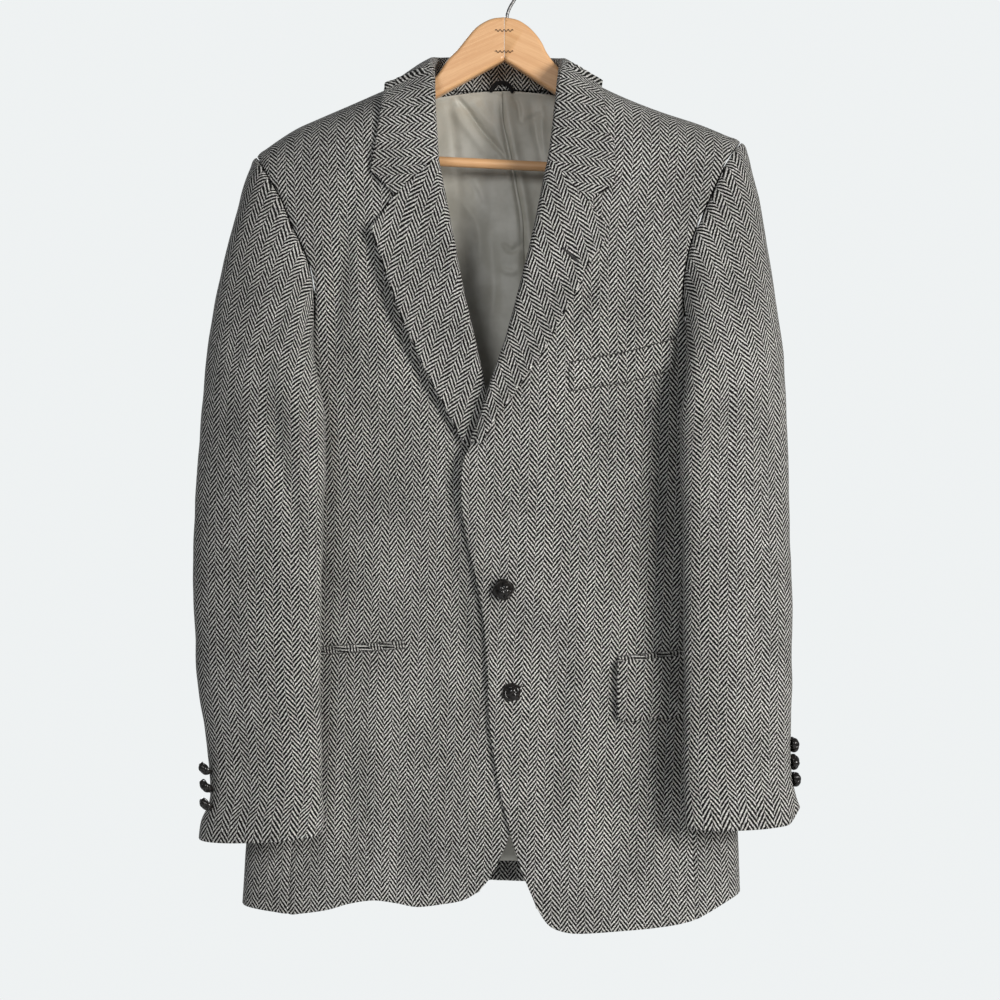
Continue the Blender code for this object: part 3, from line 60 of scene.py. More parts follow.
def addCamera():
    data = bpy.data.cameras.new("studioCamera")
    data.sensor_width, data.lens = cameraSet["sensor"], cameraSet["lens"]
    data.clip_end = 60.0
    camera = added("studioCamera", data)
    camera.location = cameraSet["place"]
    camera.rotation_euler = (math.pi / 2, 0, 0)
    bpy.context.scene.camera = camera


addCamera()


# curves and reading of tables

def smooth(xs, ys, at):
    # between a table's rows, on a smooth curve that doesn't overshoot them
    xs, ys = np.asarray(xs, float), np.asarray(ys, float)
    if xs[0] > xs[-1]:
        xs, ys = xs[::-1], ys[::-1]
    at = np.clip(at, xs[0], xs[-1])
    step, slope = np.diff(xs), np.diff(ys) / np.diff(xs)
    tangent = np.empty_like(ys)
    tangent[0], tangent[-1] = slope[0], slope[-1]
    before, after = slope[:-1], slope[1:]
    sameWay = before * after > 0
    harmonic = 2 * before * after / np.where(sameWay, before + after, 1)
    tangent[1:-1] = np.where(sameWay, harmonic, 0)
    i = np.clip(np.searchsorted(xs, at) - 1, 0, len(step) - 1)
    t = (at - xs[i]) / step[i]
    return (
        ys[i] * (1 + 2 * t) * (1 - t) ** 2
        + ys[i + 1] * t * t * (3 - 2 * t)
        + step[i] * (tangent[i] * t * (1 - t) ** 2 - tangent[i + 1] * t * t * (1 - t))
    )


def tabled(rows, at, k=1):
    # one of a table's columns, at places of its first one
    return smooth([row[0] for row in rows], [row[k] for row in rows], at)


def together(*parts):
    return np.stack(parts, axis=-1)


def unit(vectors):
    return vectors / np.maximum(np.linalg.norm(vectors, axis=-1, keepdims=True), 1e-9)


def lengths(points):
    # how far along a polyline each of its points lies
    return np.concatenate([[0], np.cumsum(np.linalg.norm(np.diff(points, axis=0), axis=1))])


def chordShares(points):
    # shares of a curve through points, by the square roots of its chords
    chord = np.linalg.norm(np.diff(points, axis=0).reshape(len(points) - 1, -1), axis=1)
    along = np.concatenate([[0], np.cumsum(np.sqrt(chord))])
    return along / along[-1]


def through(points, at):
    # a Catmull-Rom curve through points, read at shares of its length
    points = np.asarray(points, float)
    along = chordShares(points)
    ends = np.concatenate([[2 * points[0] - points[1]], points, [2 * points[-1] - points[-2]]])
    at = np.atleast_1d(at)
    i = np.clip(np.searchsorted(along, at, side="right") - 1, 0, len(points) - 2)
    t = ((at - along[i]) / (along[i + 1] - along[i])).reshape((-1,) + (1,) * (points.ndim - 1))
    a, b, c, d = ends[i], ends[i + 1], ends[i + 2], ends[i + 3]
    return 0.5 * (
        2 * b + (c - a) * t + (2 * a - 5 * b + 4 * c - d) * t**2 + (3 * b - a - 3 * c + d) * t**3
    )


def evenly(points, count):
    # a polyline's points, spaced evenly over its length
    points = np.asarray(points, float)
    along = lengths(points)
    at = np.linspace(0, along[-1], count)
    return np.stack([np.interp(at, along, points[:, k]) for k in range(points.shape[1])], axis=-1)


def ease(at, start, end):
    # 0 before start, 1 after end
    t = np.clip((np.asarray(at, float) - start) / (end - start), 0, 1)
    return t * t * (3 - 2 * t)


def crowded(count, crowd=0.8):
    # shares from 0 to 1 that lie closer together at both ends
    t = np.linspace(0, 1, count)
    return t - crowd * np.sin(2 * math.pi * t) / (2 * math.pi)


def wobble(points, size, seed):
    # smooth unevenness of about -1 to 1 over that size, the same on each run
    rng = np.random.RandomState(seed)
    points = np.asarray(points, float)
    total = 0.0
    for _ in range(9):
        way = rng.normal(size=3)
        way *= rng.uniform(0.6, 1.5) * 2 * math.pi / (size * np.linalg.norm(way))
        total = total + np.sin(points @ way + rng.uniform(0, 2 * math.pi))
    return total / 4.2


def uneven(points, *parts):
    # unevenness of several heights, sizes and seeds
    return sum(height * wobble(points, size, seed) for height, size, seed in parts)


def creased(x, z, rows):
    # soft troughs and ridges along lines: a row has the line's places, its half width and height
    x, z = np.asarray(x, float), np.asarray(z, float)
    lift = np.zeros(np.broadcast(x, z).shape)
    for line, width, height in rows:
        line = evenly(through(line, np.linspace(0, 1, 40)), 14)
        nearest, along = np.full(lift.shape, 1e9), np.zeros(lift.shape)
        for k, (a, b) in enumerate(zip(line[:-1], line[1:])):
            way = b - a
            t = np.clip(((x - a[0]) * way[0] + (z - a[1]) * way[1]) / (way @ way), 0, 1)
            away = np.hypot(x - a[0] - t * way[0], z - a[1] - t * way[1])
            along = np.where(away < nearest, (k + t) / 13, along)
            nearest = np.minimum(away, nearest)
        swell = np.sin(math.pi * np.clip(along, 0, 1)) ** 0.7
        lift += height * swell * np.exp(-((nearest / width) ** 2))
    return lift


# the body's surface: a flattened tube that closes along the shoulders

bodyForm = dict(
    shoulderDrop=42.0,  # height over which the shoulder turns into front and back
    shoulderTurn=68.0,  # length of cloth over that height
    ringPower=2.5,
    ringAspect=0.19,
    tweed=2.6,
    seamGap=0.3,
    stripeWidths={  # z, and how much narrower or wider the cloth's stripes lie there
        -1: [(-200, 0.976), (-300, 1.0), (-450, 1.035), (-560, 1.08), (-900, 1.085)],
        1: [(-200, 0.935), (-300, 0.99), (-470, 0.983), (-850, 1.005)],
    },
    shoulder=[  # x, z
        (-275, -238), (-255, -210), (-239.5, -196), (-219.5, -181.2), (-199, -168.5),
        (-181.6, -160.8), (-147.6, -146.2), (-112.6, -131), (-73.8, -116), (0, -92), (62, -111),
        (91.4, -127.5), (120.6, -141), (154.6, -154), (188.6, -165), (215.8, -176),
        (229.5, -182), (247, -197), (270, -226),
    ],
    sections=[  # z, middle, half width, front depth, back depth
        (-80, 0, 272, 40, 42), (-200, 0, 268, 50, 44), (-300, 0, 252, 54, 43),
        (-380, 0, 229, 53, 41), (-480, -1, 222, 50, 39), (-600, -4, 219, 46, 38),
        (-700, -7, 224, 45, 39), (-800, -10, 235, 44, 41), (-945, -12.5, 243, 44, 43),
    ],
)


def quarterRing():
    angle = np.linspace(0, math.pi / 2, 900)
    out = np.sin(angle) ** (2 / bodyForm["ringPower"])
    deep = np.cos(angle) ** (2 / bodyForm["ringPower"])
    steps = np.hypot(np.diff(out), bodyForm["ringAspect"] * np.diff(deep))
    along = np.concatenate([[0], np.cumsum(steps)])
    return along / along[-1], out, deep, along[-1]


ringAlong, ringOut, ringDeep, ringLength = quarterRing()


def sectionAt(z):
    return [tabled(bodyForm["sections"], z, k) for k in range(1, 5)]


def shoulderAt(x):
    return tabled(bodyForm["shoulder"], x)


def body(turn, down):
    # turn is 0 at the middle of the front, 1 at the left side, 2 at the middle of the back, and
    # negative on the wearer's right; down is the cloth's length from the shoulder line
    turn, down = np.broadcast_arrays(np.asarray(turn, float), np.asarray(down, float))
    share = np.where(np.abs(turn) > 1, 2 - np.abs(turn), np.abs(turn))
    out = np.interp(share, ringAlong, ringOut) * np.sign(turn)
    deep = np.interp(share, ringAlong, ringDeep)
    drop, length = bodyForm["shoulderDrop"], bodyForm["shoulderTurn"]
    bend = np.clip(down / length, 0, 1) * math.pi / 2
    fall = drop * (1 - np.cos(bend)) + np.maximum(down - length, 0)
    z = -150 - fall
    for _ in range(6):
        middle, halfWidth, front, back = sectionAt(z)
        x = middle + halfWidth * out
        z = shoulderAt(x) - fall
    y = np.where(np.abs(turn) > 1, back, -front) * deep * np.sin(bend)
    return together(x, y, z)


def place(x, z, face="front"):
    # the turn and down of the body's point with this x and z
    x, z = np.broadcast_arrays(np.asarray(x, float), np.asarray(z, float))
    middle, halfWidth, _, _ = sectionAt(z)
    share = np.interp(np.abs(x - middle) / halfWidth, ringOut, ringAlong)
    fall = np.maximum(shoulderAt(x) - z, 0)
    drop, length = bodyForm["shoulderDrop"], bodyForm["shoulderTurn"]
    bend = np.arccos(np.clip(1 - fall / drop, 0, 1))
    down = bend / (math.pi / 2) * length + np.maximum(fall - drop, 0)
    turn = np.where(x < middle, -1, 1) * (share if face == "front" else 2 - share)
    return turn, down


def bodyNormal(turn, down):
    a, d = 0.002, 0.2
    down = np.maximum(down, d)
    roundIt = body(turn + a, down) - body(turn - a, down)
    along = body(turn, down + d) - body(turn, down - d)
    return unit(np.cross(along, roundIt))


def lay(turn, down, out=0.0):
    return body(turn, down) + bodyNormal(turn, down) * np.asarray(out, float)[..., None]


def onBody(x, z, out=0.0, face="front"):
    return lay(*place(x, z, face), out)


def turnedCut(flat, angle):
    # flat places, turned by an angle
    u, v = flat[..., 0], flat[..., 1]
    cosine, sine = math.cos(angle), math.sin(angle)
    return together(u * cosine - v * sine, u * sine + v * cosine)


def bodyWeave(turn, down, middleTurn=0.0):
    # where a point of the body lies in the flat cloth, across and along its grain
    points = body(turn, down)
    halfWidth = sectionAt(points[..., 2])[1]
    right, left = (tabled(rows, points[..., 2]) for rows in bodyForm["stripeWidths"].values())
    widths = right + (left - right) * ease(turn, -0.25, 0.25)
    across = halfWidth * ringLength * (turn - middleTurn) * widths
    return together(across, down - shoulderAt(points[..., 0]))


lapForm = dict(gap=0.8, bulge=11.5, top=(-395, -330), foot=(-575, -500), side=(26, 88))


def lapLift(x, z):
    # how far the wearer's left front stands off where it laps over the right one
    high = lapForm["bulge"] * (1 - ease(z, *lapForm["top"])) * ease(z, *lapForm["foot"])
    low = (bodyForm["tweed"] + lapForm["gap"]) * (1 - ease(z, *lapForm["foot"]))
    return (high + low) * (1 - ease(x, *lapForm["side"]))


# materials

def put(tree, kind, values=None, **settings):
    # a node with its settings, its inputs set or linked
    made = tree.nodes.new(kind)
    for key, value in settings.items():
        setattr(made, key, value)
    for key, value in (values or {}).items():
        if isinstance(value, bpy.types.NodeSocket):
            tree.links.new(value, made.inputs[key])
        else:
            made.inputs[key].default_value = value
    return made


def calc(tree, operation, *values):
    return put(tree, "ShaderNodeMath", dict(enumerate(values)), operation=operation).outputs[0]


def times(tree, one, two):
    return calc(tree, "MULTIPLY", one, two)


def timesPlus(tree, one, two, three):
    return calc(tree, "MULTIPLY_ADD", one, two, three)


def moving(tree, operation, *values):
    made = put(tree, "ShaderNodeVectorMath", dict(enumerate(values)), operation=operation)
    return made.outputs[0]


def ranged(tree, value, low, high, start=0.0, end=1.0):
    values = {0: value, 1: low, 2: high, 3: start, 4: end}
    return put(tree, "ShaderNodeMapRange", values, interpolation_type="SMOOTHSTEP").outputs[0]


def noise(tree, vector, scale, detail=3.0, rough=0.55, out=0):
    values = {"Vector": vector, "Scale": scale, "Detail": detail, "Roughness": rough}
    return put(tree, "ShaderNodeTexNoise", values).outputs[out]


def blended(tree, factor, one, two, kind="MIX"):
    # colours blended; a colour's three parts are made opaque
    one, two = ((*c, 1) if isinstance(c, tuple) else c for c in (one, two))
    settings = dict(data_type="RGBA", blend_type=kind)
    return put(tree, "ShaderNodeMix", {0: factor, 6: one, 7: two}, **settings).outputs[2]


def stretched(tree, vector, scales):
    return moving(tree, "MULTIPLY", vector, scales)


def axes(tree, vector):
    return put(tree, "ShaderNodeSeparateXYZ", {0: vector}).outputs


def group(name, outputs):
    # a shader group that is given a flat place in millimetres
    tree = bpy.data.node_groups.new(name, "ShaderNodeTree")
    tree.interface.new_socket("Flat", in_out="INPUT", socket_type="NodeSocketVector")
    for out, kind in outputs:
        tree.interface.new_socket(out, in_out="OUTPUT", socket_type="NodeSocket" + kind)
    flat = tree.nodes.new("NodeGroupInput").outputs["Flat"]
    return tree, flat, tree.nodes.new("NodeGroupOutput")


weaveForm = dict(
    stripe=8.2,  # width of one slant of the herringbone
    line=4.85,  # height of its lines, and how far across they rise by as much
    rise=3.9,
    step=0.45,  # how far the lines are out of step between neighbouring stripes
    ends=1.02,  # width of a warp and a weft thread's beads
    picks=1.21,
    dark=(0.002, 0.002, 0.002),
    darkest=(0.016, 0.0155, 0.015),
    light=(0.41, 0.405, 0.385),
    lightest=(0.88, 0.865, 0.815),
    hair=(0.34, 0.335, 0.32),
)


def herringboneGroup():
    tree, flat, end = group("herringbone", [("Colour", "Color"), ("Height", "Float")])
    form, half = weaveForm, (0.5, 0.5, 0.5)
    drift = moving(tree, "SUBTRACT", noise(tree, flat, 0.07, 1.0, 0.5, 1), half)
    jitter = moving(tree, "SUBTRACT", noise(tree, flat, 0.55, 1.0, 0.5, 1), half)
    moved = moving(tree, "MULTIPLY_ADD", drift, (1.6, 1.8, 0), flat)
    moved = moving(tree, "MULTIPLY_ADD", jitter, (1.0, 1.0, 0), moved)
    u, v, _ = axes(tree, moved)
    zig = calc(tree, "PINGPONG", u, form["stripe"])
    odd = calc(tree, "FRACT", calc(tree, "DIVIDE", u, 2 * form["stripe"]))
    odd = calc(tree, "GREATER_THAN", odd, 0.5)
    phase = timesPlus(tree, v, 1 / form["line"], times(tree, zig, 1 / form["rise"]))
    phase = timesPlus(tree, odd, form["step"], phase)
    wave = calc(tree, "SINE", times(tree, phase, 2 * math.pi))
    yarn = noise(tree, stretched(tree, moved, (0.95, 0.75, 1)), 1.0, 2.0, 0.6)
    ragged = timesPlus(tree, calc(tree, "SUBTRACT", yarn, 0.5), 2.5, wave)
    line = ranged(tree, ragged, 0.0, 0.7)
    warp = calc(tree, "SINE", times(tree, u, 2 * math.pi / form["ends"]))
    weft = calc(tree, "SINE", times(tree, v, 2 * math.pi / form["picks"]))
    tone = ranged(tree, noise(tree, flat, 0.62, 2.0, 0.6), 0.3, 0.7)
    dark = blended(tree, tone, form["dark"], form["darkest"])
    light = blended(tree, tone, form["light"], form["lightest"])
    colour = blended(tree, line, dark, light)
    tint = noise(tree, flat, 0.33, 1.0, 0.5, 1)
    colour = blended(tree, 0.09, colour, tint, "OVERLAY")
    hair = noise(tree, stretched(tree, flat, (1.4, 1.4, 1)), 1.7, 2.0, 0.7)
    hair = times(tree, ranged(tree, hair, 0.52, 0.76), 0.12)
    colour = blended(tree, hair, colour, form["hair"])
    fleck = ranged(tree, noise(tree, flat, 1.15, 1.0, 0.5), 0.32, 0.68, 0.68, 1.22)
    broad = ranged(tree, noise(tree, flat, 0.013, 2.0, 0.5), 0.25, 0.75, 0.8, 1.06)
    broad = times(tree, broad, fleck)
    broad = put(tree, "ShaderNodeCombineColor", {0: broad, 1: broad, 2: broad}).outputs[0]
    colour = blended(tree, 1.0, colour, broad, "MULTIPLY")
    bead = times(tree, times(tree, warp, weft), 0.22)
    height = timesPlus(tree, line, 0.55, bead)
    height = timesPlus(tree, noise(tree, flat, 2.2, 2.0, 0.6), 0.7, height)
    tree.links.new(colour, end.inputs["Colour"])
    tree.links.new(height, end.inputs["Height"])
    return tree


def grainGroup():
    tree, flat, end = group("woodGrain", [("Colour", "Color"), ("Height", "Float")])
    bend = noise(tree, stretched(tree, flat, (0.008, 0.05, 0.05)), 1.0, 2.0, 0.5, 1)
    moved = moving(tree, "MULTIPLY_ADD", bend, (6, 9, 0), flat)
    rings = noise(tree, stretched(tree, moved, (0.006, 0.3, 0.3)), 1.0, 4.0, 0.62)
    fine = noise(tree, stretched(tree, flat, (0.07, 1.9, 1.9)), 1.0, 3.0, 0.6)
    tone = ranged(tree, timesPlus(tree, fine, 0.35, times(tree, rings, 0.8)), 0.38, 0.78)
    colour = blended(tree, tone, (0.66, 0.35, 0.155), (0.8, 0.475, 0.235))
    pores = noise(tree, stretched(tree, flat, (0.12, 2.6, 2.6)), 1.0, 1.0, 0.5)
    pores = ranged(tree, pores, 0.62, 0.78)
    colour = blended(tree, times(tree, pores, 0.22), colour, (0.5, 0.25, 0.1))
    tree.links.new(colour, end.inputs["Colour"])
    tree.links.new(timesPlus(tree, pores, -0.5, fine), end.inputs["Height"])
    return tree


finishes = {}


def material(name, roughness, **constants):
    made = bpy.data.materials.new(name)
    made.use_nodes = True
    tree = made.node_tree
    shader = tree.nodes["Principled BSDF"]
    shader.inputs["Roughness"].default_value = roughness
    for socket, value in constants.items():
        shader.inputs[socket.replace("_", " ")].default_value = value
    finishes[name] = made
    return tree, shader


def scaled(tree, vector, scale):
    values = {0: vector, "Scale": scale}
    return put(tree, "ShaderNodeVectorMath", values, operation="SCALE").outputs[0]


def flatPlace(tree, scale=1000.0):
    return scaled(tree, put(tree, "ShaderNodeUVMap", None, uv_map="weave").outputs[0], scale)


def objectPlace(tree, scale=1000.0):
    return scaled(tree, tree.nodes.new("ShaderNodeTexCoord").outputs["Object"], scale)


def coloured(tree, shader, colour, height, strength, distance):
    # a material's colour, and its relief as a bump
    tree.links.new(colour, shader.inputs["Base Color"])
    values = {"Strength": strength, "Distance": distance, "Height": height}
    tree.links.new(put(tree, "ShaderNodeBump", values).outputs[0], shader.inputs["Normal"])


def grouped(tree, shader, node, strength, distance):
    made = put(tree, "ShaderNodeGroup", node_tree=node)
    tree.links.new(flatPlace(tree), made.inputs["Flat"])
    coloured(tree, shader, made.outputs["Colour"], made.outputs["Height"], strength, distance)


def satin():
    settings = dict(Specular_IOR_Level=0.4, Sheen_Weight=0.15, Sheen_Roughness=0.4)
    tree, shader = material("satin", 0.42, **settings)
    flat = flatPlace(tree)
    rib = calc(tree, "SINE", times(tree, axes(tree, flat)[1], 7.0))
    thread = noise(tree, stretched(tree, flat, (0.9, 0.12, 1)), 1.0, 3.0, 0.6)
    worn = ranged(tree, noise(tree, flat, 0.03, 3.0, 0.6), 0.35, 0.7)
    colour = blended(tree, worn, (0.5, 0.485, 0.42), (0.64, 0.625, 0.56))
    # soiled where it lies at the neck
    high = ranged(tree, axes(tree, objectPlace(tree))[2], -190.0, -122.0)
    patchy = ranged(tree, noise(tree, flat, 0.06, 3.0, 0.6), 0.3, 0.75)
    soiled = times(tree, times(tree, high, patchy), 0.55)
    colour = blended(tree, soiled, colour, (0.33, 0.26, 0.17))
    colour = blended(tree, times(tree, thread, 0.25), colour, (0.56, 0.54, 0.46))
    coloured(tree, shader, colour, timesPlus(tree, rib, 0.2, thread), 0.25, 0.0003)


def makeFinishes():
    sheen = dict(Sheen_Weight=0.06, Sheen_Roughness=0.5, Sheen_Tint=(0.8, 0.79, 0.77, 1))
    tree, shader = material("tweed", 0.95, Specular_IOR_Level=0.08, **sheen)
    grouped(tree, shader, herringboneGroup(), 0.75, 0.0006)
    satin()
    tree, shader = material("wood", 0.42, Coat_Weight=0.25, Coat_Roughness=0.25)
    grouped(tree, shader, grainGroup(), 0.15, 0.0003)

    gloss = dict(Specular_IOR_Level=0.1, Coat_Weight=0.85, Coat_Roughness=0.1)
    tree, shader = material("leather", 0.35, **gloss)
    here = objectPlace(tree)
    worn = ranged(tree, noise(tree, here, 0.5, 3.0, 0.6), 0.4, 0.72)
    colour = blended(tree, worn, (0.0035, 0.003, 0.0025), (0.014, 0.01, 0.0075))
    cell = put(tree, "ShaderNodeTexVoronoi", {"Vector": here, "Scale": 2.3}).outputs[0]
    height = timesPlus(tree, cell, 0.5, noise(tree, here, 1.2))
    coloured(tree, shader, colour, height, 0.22, 0.0003)

    tree, shader = material("cord", 0.8, Specular_IOR_Level=0.15, Sheen_Weight=0.05)
    u, v, _ = axes(tree, flatPlace(tree))
    twist = calc(tree, "SINE", times(tree, calc(tree, "ADD", u, v), 3.4))
    both = (0.004, 0.004, 0.0045), (0.022, 0.021, 0.021)
    coloured(tree, shader, blended(tree, ranged(tree, twist, -1.0, 1.0), *both), twist, 0.7, 0.0005)

    for name, colours, rough, metal, scale in (
        ("steel", ((0.1, 0.1, 0.105), (0.22, 0.215, 0.21)), 0.38, 1.0, 0.35),
        ("rust", ((0.07, 0.03, 0.014), (0.2, 0.12, 0.07)), 0.62, 0.5, 0.9),
    ):
        tree, shader = material(name, rough, Metallic=metal)
        here = objectPlace(tree)
        spots = ranged(tree, noise(tree, here, scale, 4.0, 0.65), 0.35, 0.68)
        height = noise(tree, here, 1.4)
        coloured(tree, shader, blended(tree, spots, *colours), height, 0.2, 0.0002)

    for name, colour, rough in (
        ("darkThread", (0.012, 0.011, 0.01), 0.75), ("paleThread", (0.3, 0.29, 0.27), 0.8),
    ):
        tree, shader = material(name, rough, Sheen_Weight=0.2)
        ply = calc(tree, "SINE", times(tree, axes(tree, objectPlace(tree))[0], 9.0))
        worn = ranged(tree, ply, -1.0, 1.0, 0.0, 0.16)
        coloured(tree, shader, blended(tree, worn, colour, (0.2, 0.19, 0.17)), ply, 0.3, 0.0002)


makeFinishes()
print("stage: materials done")

# making meshes

root = "root"
sides = ((-1, "right"), (1, "left"))
rooted = ["hanger_arm_right", "hanger_arm_left"]
sheets = []  # pieces of cloth, their faces, how they are held and what they rest on
cutTurns = {}  # the turn of a piece's cut from its weave


def pieceName(node):
    words = node.split("_")
    return words[0] + "".join(word.title() for word in words[1:])


def plainMesh(name, points, faces, weave=None, angle=None):
    # an object in metres from points in millimetres, with the cloth's flat places as its UV map
    mesh = bpy.data.meshes.new(pieceName(name))
    mesh.from_pydata((np.asarray(points) * mm).tolist(), [], faces)
    if weave is not None:
        layer = mesh.uv_layers.new(name="weave")
        loops = np.empty(len(mesh.loops), np.int32)
        mesh.loops.foreach_get("vertex_index", loops)
        layer.data.foreach_set("uv", (np.asarray(weave)[loops] * mm).astype(np.float32).ravel())
    mesh.shade_smooth()
    if angle:
        mesh.set_sharp_from_angle(angle=math.radians(angle))
    return added(pieceName(name), mesh)


def outwards(piece, split=False):
    # turns its faces outwards, and splits its large flat ones
    edit = bmesh.new()
    edit.from_mesh(piece.data)
    bmesh.ops.recalc_face_normals(edit, faces=edit.faces)
    if split:
        bmesh.ops.triangulate(edit, faces=[f for f in edit.faces if len(f.verts) > 4])
    edit.to_mesh(piece.data)
    edit.free()


def ringFaces(rings, count, first=0, closed=False):
    # faces between rings of points
    faces = []
    for r in range(rings if closed else rings - 1):
        a, b = first + r * count, first + (r + 1) % rings * count
        for k in range(count):
            n = (k + 1) % count
            faces.append((a + k, a + n, b + n, b + k))
    return faces


def finished(piece, look, slot, *nodes):
    piece.data.materials.clear()
    piece.data.materials.append(finishes[look])
    if nodes:
        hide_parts(*nodes)
    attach(piece, root)
    return piece


def clothWall(name, outer, inner, weave, free="ltrb", swell=0.42):
    # a closed wall between two grids, with a round edge on its free sides
    rows, columns = outer.shape[:2]
    half = rows * columns
    index = np.arange(half).reshape(rows, columns)
    rim = [(0, c) for c in range(columns)]
    rim += [(r, columns - 1) for r in range(1, rows)]
    rim += [(rows - 1, c) for c in range(columns - 2, -1, -1)]
    rim += [(r, 0) for r in range(rows - 2, 0, -1)]
    first, second = [], []
    for r, c in rim:
        outside, isFree = [], False
        for side, edge, step in (("t", r == 0, (1, 0)), ("b", r == rows - 1, (-1, 0)),
                                 ("l", c == 0, (0, 1)), ("r", c == columns - 1, (0, -1))):
            if edge:
                outside.append(unit(outer[r, c] - outer[r + step[0], c + step[1]]))
                isFree = isFree or side in free
        depth = inner[r, c] - outer[r, c]
        bulge = unit(np.sum(outside, axis=0)) * (0.8 * swell * isFree * np.linalg.norm(depth))
        first.append(outer[r, c] + depth * 0.2 + bulge)
        second.append(outer[r, c] + depth * 0.75 + bulge)
    points = np.concatenate([outer.reshape(-1, 3), inner.reshape(-1, 3), first, second])
    a, b = index[:-1, :-1].ravel(), index[:-1, 1:].ravel()
    c, d = index[1:, 1:].ravel(), index[1:, :-1].ravel()
    faces = np.stack([a, b, c, d], axis=1)
    back = np.stack([d, c, b, a], axis=1) + half
    o = np.array([index[p] for p in rim])
    k = len(rim)
    loops = [o, np.arange(k) + 2 * half, np.arange(k) + 2 * half + k, o + half]
    sides = []
    for one, two in zip(loops, loops[1:]):
        sides.append(np.stack([np.roll(one, -1), one, two, np.roll(two, -1)], axis=1))
    every = np.concatenate([faces, back] + sides)
    middle = faces[len(faces) // 2]
    facing = np.cross(points[middle[1]] - points[middle[0]], points[middle[3]] - points[middle[0]])
    if facing @ (points[middle[0]] - points[middle[0] + half]) < 0:
        every = every[:, ::-1]
    flat = weave.reshape(-1, 2)
    return plainMesh(name, points, every.tolist(), np.concatenate([flat, flat, flat[o], flat[o]]))


def clothPiece(
    name, outer, inner, weave, free, held, on, swell=0.42, nodes=(), look=("tweed", "tweed")
):
    # a wall of cloth in its finish, noted with how it is held and what it rests on
    piece = clothWall(name, outer, inner, weave, free, swell)
    sheets.append((finished(piece, *look, *(nodes or [name])), outer, held, on))
    return piece


def edgeDistance(grid, side):
    # how far each point is from one side of its grid, along the line that crosses it
    axis = 0 if side in "tb" else 1
    steps = np.linalg.norm(np.diff(grid, axis=axis), axis=-1)
    along = np.cumsum(steps, axis=axis)
    along = np.concatenate([np.zeros_like(np.take(along, [0], axis)), along], axis=axis)
    return np.take(along, [-1], axis) - along if side in "br" else along


seamForm = dict(ditch=0.55, ditchWidth=1.6, puff=0.5, puffAt=6.0, puffWidth=3.6)


def seamed(grid, sides):
    # a ditch along the sides that are sewn, with the cloth a little proud beside it
    lift = 0.0
    form = seamForm
    for side in sides:
        away = edgeDistance(grid, side)
        lift = lift - form["ditch"] * np.exp(-((away / form["ditchWidth"]) ** 2))
        beside = (away - form["puffAt"]) / form["puffWidth"]
        lift = lift + form["puff"] * np.exp(-(beside**2))
    return lift


def drawIn(grid, sides, gap=0.15):
    # moves the edges of those sides inwards, so that pieces don't touch
    grid = grid.copy()
    edges = {"t": (0, 1, 0), "b": (-1, -2, 0), "l": (0, 1, 1), "r": (-1, -2, 1)}
    for side in sides:
        edge, inner, axis = edges[side]
        lines = np.moveaxis(grid, axis, 0)
        lines[edge] += gap * unit(lines[inner] - lines[edge])
    return grid


# fronts, side panels and back

panelForm = dict(
    rows=150,
    columns=64,
    frontSeam=0.76,  # turns at which the side panel starts and ends
    backSeam=1.28,
    frontSeamTop=-379,
    underarm=-391,
    backSeamTop=-366,
    armRows=12 / 23,  # share of a panel's rows that lie beside the armhole
    armCrowd=1.4,
    sideHem={-1: -919, 1: -908},
    backSeamHem={-1: -909, 1: -911},
    centreHem=-904,
    neckCentre=-6,
    neckLevel=-121,
    backNeck=[  # x, z
        (-74.5, -116.4), (-73, -121), (-69, -124), (-58, -123), (-6, -121), (35, -121),
        (50, -121.5), (58, -121), (62, -117), (63.5, -111.9),
    ],
    frontArmhole={  # x, z
        -1: [
            (-239.5, -196), (-227, -217), (-213, -241), (-202.5, -266), (-190, -292),
            (-182.5, -316), (-180, -340), (-181, -361),
        ],
        1: [
            (229.5, -182), (217.5, -197), (207.5, -216), (192, -250), (178.5, -281),
            (171.5, -312), (170, -339), (174, -361),
        ],
    },
    backArmhole={
        -1: [
            (-239.5, -196), (-228, -209), (-212, -232), (-199, -262), (-190, -298), (-184, -334),
        ],
        1: [
            (229.5, -182), (218, -197), (204, -222), (192, -256), (184, -294), (181, -332),
        ],
    },
    neckEdge={
        -1: [
            (-74.5, -116.4), (-75, -121), (-74.5, -127), (-71.8, -136), (-69.6, -150),
            (-67.4, -183),
        ],
        1: [(63.5, -111.9), (63.8, -116), (62, -123), (56.6, -133), (52.8, -150), (49.2, -183)],
    },
    frontEdge={
        -1: [
            (10, -520), (15, -570), (19, -624), (21, -700), (17, -770), (10.5, -815), (4, -849),
            (-3.8, -869), (-12.4, -887), (-24, -902),
        ],
        1: [
            (-38, -491), (-40, -524), (-36.5, -558), (-27.5, -598), (-19.5, -640), (-15.8, -688),
            (-12.5, -750), (-2, -812), (14, -873), (31, -917),
        ],
    },
    hem={
        -1: [
            (-24, -902), (-39, -910), (-60, -914), (-83, -916.5), (-103, -913), (-125, -910.5),
            (-148, -914), (-170, -920.5), (-200, -925),
        ],
        1: [
            (31, -917), (41, -932), (53, -939), (72, -942), (110, -940), (140, -938),
            (165, -935), (182, -931), (195, -925),
        ],
    },
)

